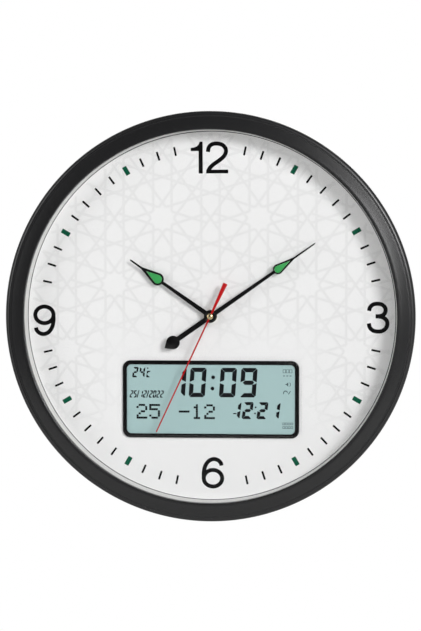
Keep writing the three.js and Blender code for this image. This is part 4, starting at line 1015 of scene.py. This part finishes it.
def screw_head(radius, height, rear):
    """A crowned head with a cross recess, seen from behind the clock."""
    rings, spokes = 14, 48
    recess_half, recess_depth, recess_share = 0.36, 0.9, 0.62
    points, faces = [(0, 0, rear + recess_depth)], []
    for ring in range(1, rings + 1):
        share = ring / rings
        for spoke in range(spokes):
            x, y = polar(radius * share, 360 * spoke / spokes)
            level = rear + height * 0.55 * share ** 3
            if min(abs(x), abs(y)) < recess_half and share < recess_share:
                level = rear + recess_depth
            points.append((x, y, level))
    points += [(*polar(radius, 360 * i / spokes), rear + height) for i in range(spokes)]
    for spoke in range(spokes):
        faces.append([0, 1 + (spoke + 1) % spokes, 1 + spoke])
    for ring in range(rings):
        for spoke in range(spokes):
            a, b = 1 + ring * spokes + spoke, 1 + ring * spokes + (spoke + 1) % spokes
            faces.append([a, b, b + spokes, a + spokes])
    return points, faces


def build_screws():
    for number, angle in enumerate(SCREW_ANGLES, 1):
        x, y = polar(BOSS_CIRCLE, angle)
        shank = turned([(0, 2), (1.2, 2), (1.2, 12.8), (0.3, 14), (0, 14)], 16)
        # Each recess stopped at its own angle when the screw was driven home.
        head = moved(screw_head(2.9, 1.5, 0.5), turn=17 * number)
        piece(f"case_screw_turned_{number}", moved(joined(head, shank), x, y), "zinc_steel",
              f"case_screw_{number}", sharp=25)


def build_keys():
    cap_radius, flange_radius, stem_radius = 4.4, 6, 1.6
    flange_rear, flange_front, stem_front = 5.25, 6.45, 13.25
    cap = [(0, 0.85), (2.2, 0.9), (3.5, 1.1), *arc(3.6, 1.9, 0.8, -80, 0, 5),
           (cap_radius, flange_rear), (flange_radius, flange_rear), (flange_radius, flange_front),
           (stem_radius, flange_front), (stem_radius, stem_front), (0, stem_front)]
    for i, name in enumerate(("set", "up", "down", "mode", "azan")):
        piece(f"key_cap_{name}", turned(cap, 40, KEY_PITCH * (i - 3), KEY_Y), "moulded_rubber",
              f"key_{name}", f"{name}_button")


def build_door():
    outline = rounded(DOOR_WIDTH, DOOR_HEIGHT, DOOR_CORNER, 0, BAY_Y)
    first_grip = BAY_Y - DOOR_HEIGHT / 2 + DOOR_CORNER
    grips = [rounded(DOOR_WIDTH / 4, 0.8, 0.35, 0, first_grip + 1.5 * i, 3)[::-1]
             for i in (1, 2, 3)]
    outer = plate([outline, *grips], 2.12, 2.9, 0.25)
    inner = plate([outline], 2.6, 3.4)
    piece("battery_door_moulding", joined(outer, inner), "back_abs", "battery_door",
          "door")


# Nodes that keep their CAD shape

KEPT = {
    "float_glass": "lens",
    "coated_card": "dial",
    "white_styrene": "lcd_backing",
    "back_abs": "movement_base movement_cover",
    "polariser_film": "lcd_panel",
    "zinc_steel": "board_screw_1 board_screw_2 bridge_contact plus_contact minus_contact "
                  "speaker_basket speaker_magnet stator rotor cell_contact_plus "
                  "cell_contact_minus",
    "moulded_rubber": "zebra_strip_upper zebra_strip_lower rubber_gasket battery_lead",
    "solder_mask": "circuit_board movement_board",
    "white_abs": "sound_switch setting_knob",
    "sleeved_cell": "battery_1 battery_2 movement_cell",
    "pressed_paper": "speaker_cone",
    "red_pvc": "speaker_lead",
    "turned_brass": "mounting_washer mounting_nut minute_arbor",
    "enamelled_copper": "coil",
    "natural_acetal": "intermediate_wheel second_wheel third_wheel centre_wheel motion_wheel "
                      "hour_wheel",
}


def dress_nodes():
    for material, names in KEPT.items():
        for name in names.split():
            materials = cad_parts[name].data.materials
            materials.clear()
            materials.append(finish(material))


# Floor, light and camera. The floor and the lamps are placed in metres.

FLOOR_SIDE = 3
FLOOR_NEAR = -2.2
FLOOR_FAR = 0.62
FLOOR_LEVEL = -0.42
PALE_SHARE = 0.6
CAMERA_DISTANCE = 1.8
CAMERA_RIGHT = 4.5
CAMERA_ABOVE = 2.8
CAMERA_TARGET = (1.0, 1.3, 42.8)
SENSOR_MM = 36
PICTURE_PIXELS = 631
MM_PER_PIXEL = 0.8022


def pale_for(tree, direction, begin, full):
    """1 for rays that show the pale background: those of the camera, those through glass, and
    mirrored ones that go behind the clock, where Y rises from begin to full. Else 0."""
    rays = add(tree, "LightPath")
    side = add(tree, "SeparateXYZ", {"Vector": direction})
    behind = add(tree, "MapRange", {
        "Value": side.outputs["Y"], "From Min": begin, "From Max": full})
    mirrored = add(tree, "Math", {
        0: rays.outputs["Is Glossy Ray"], 1: behind.outputs["Result"]}, operation="MULTIPLY")
    through = add(tree, "Math", {
        0: rays.outputs["Is Camera Ray"], 1: rays.outputs["Is Transmission Ray"]},
        operation="MAXIMUM")
    return add(tree, "Math", {
        0: through.outputs["Value"], 1: mirrored.outputs["Value"]},
        operation="MAXIMUM").outputs["Value"]


def build_stage():
    mesh = bpy.data.meshes.new("floor")
    corners = [(-FLOOR_SIDE, FLOOR_NEAR), (FLOOR_SIDE, FLOOR_NEAR), (FLOOR_SIDE, FLOOR_FAR),
               (-FLOOR_SIDE, FLOOR_FAR)]
    mesh.from_pydata([(x, y, FLOOR_LEVEL) for x, y in corners], [], [[0, 1, 2, 3]])
    material = finish_of("pale_floor", tint=("#F2F2F1", "#F4F4F3", 200), Roughness=0.8)
    tree = material.node_tree
    # The floor keeps the clock's shadow, but stays pale beside the white behind it.
    share = add(tree, "Math", {0: pale_for(tree, spot(tree), 0.1, 0.4), 1: PALE_SHARE},
                operation="MULTIPLY")
    glow = add(tree, "Emission", {"Color": linear("#F8F8F7"), "Strength": 1.0})
    blend = add(tree, "MixShader", {
        "Fac": share.outputs["Value"], 1: shader_of(tree).outputs["BSDF"],
        2: glow.outputs["Emission"]})
    tree.links.new(blend.outputs["Shader"], tree.nodes["Material Output"].inputs["Surface"])
    mesh.materials.append(material)
    put("floor", mesh)

    world = bpy.data.worlds.new("studio")
    bpy.context.scene.world = world
    world.use_nodes = True
    tree = world.node_tree
    tree.nodes.clear()
    # The white background is behind the clock; the room on the lamps' side is dim.
    seen = pale_for(tree, add(tree, "TexCoord").outputs["Generated"], 0.3, 0.8)
    soft, white = (add(tree, "Background", {"Color": linear("#FFFFFF"), "Strength": strength})
                   for strength in (0.06, 1.0))
    mix = add(tree, "MixShader", {
        "Fac": seen, 1: soft.outputs["Background"], 2: white.outputs["Background"]})
    add(tree, "OutputWorld", {"Surface": mix.outputs["Shader"]})


def lamp(name, where, size, watts):
    """A square softbox that looks at the clock."""
    data = bpy.data.lights.new(name, "AREA")
    data.size = size
    data.energy = watts
    light = put(name, data)
    light.location = where
    light.rotation_euler = (-Vector(where)).to_track_quat("-Z", "Y").to_euler()


def build_light():
    lamp("key_softbox", (4.53, -6.13, 2.42), size=2.7, watts=384)
    lamp("front_fill", (1.2, -2.59, 0.94), size=1.3, watts=11)
    lamp("left_fill", (-1.5, -1.2, 0.52), size=1.2, watts=11.5)
    lamp("sheen_strip", (0.5, -2.48, 0.25), size=0.35, watts=3.6)
    lamp("back_fill", (0.4, 2.4, 1.3), size=1.6, watts=30)


def build_camera():
    data = bpy.data.cameras.new("camera")
    data.sensor_fit = "VERTICAL"
    data.sensor_height = SENSOR_MM
    data.lens = SENSOR_MM * CAMERA_DISTANCE / (PICTURE_PIXELS * MM_PER_PIXEL * MM)
    data.clip_start = 0.05
    camera = put("camera", data)
    bpy.context.scene.camera = camera
    right, above = math.radians(CAMERA_RIGHT), math.radians(CAMERA_ABOVE)
    aim = Vector((math.sin(right) * math.cos(above), -math.cos(right) * math.cos(above),
                  math.sin(above)))
    camera.location = place(*CAMERA_TARGET) + aim * CAMERA_DISTANCE
    camera.rotation_euler = (-aim).to_track_quat("-Z", "Y").to_euler()


for build in (build_case, build_print, build_display, build_hands, build_cover, build_screws,
              build_keys, build_door, dress_nodes, build_stage, build_light, build_camera):
    build()
bpy.context.scene.view_settings.view_transform = "Standard"
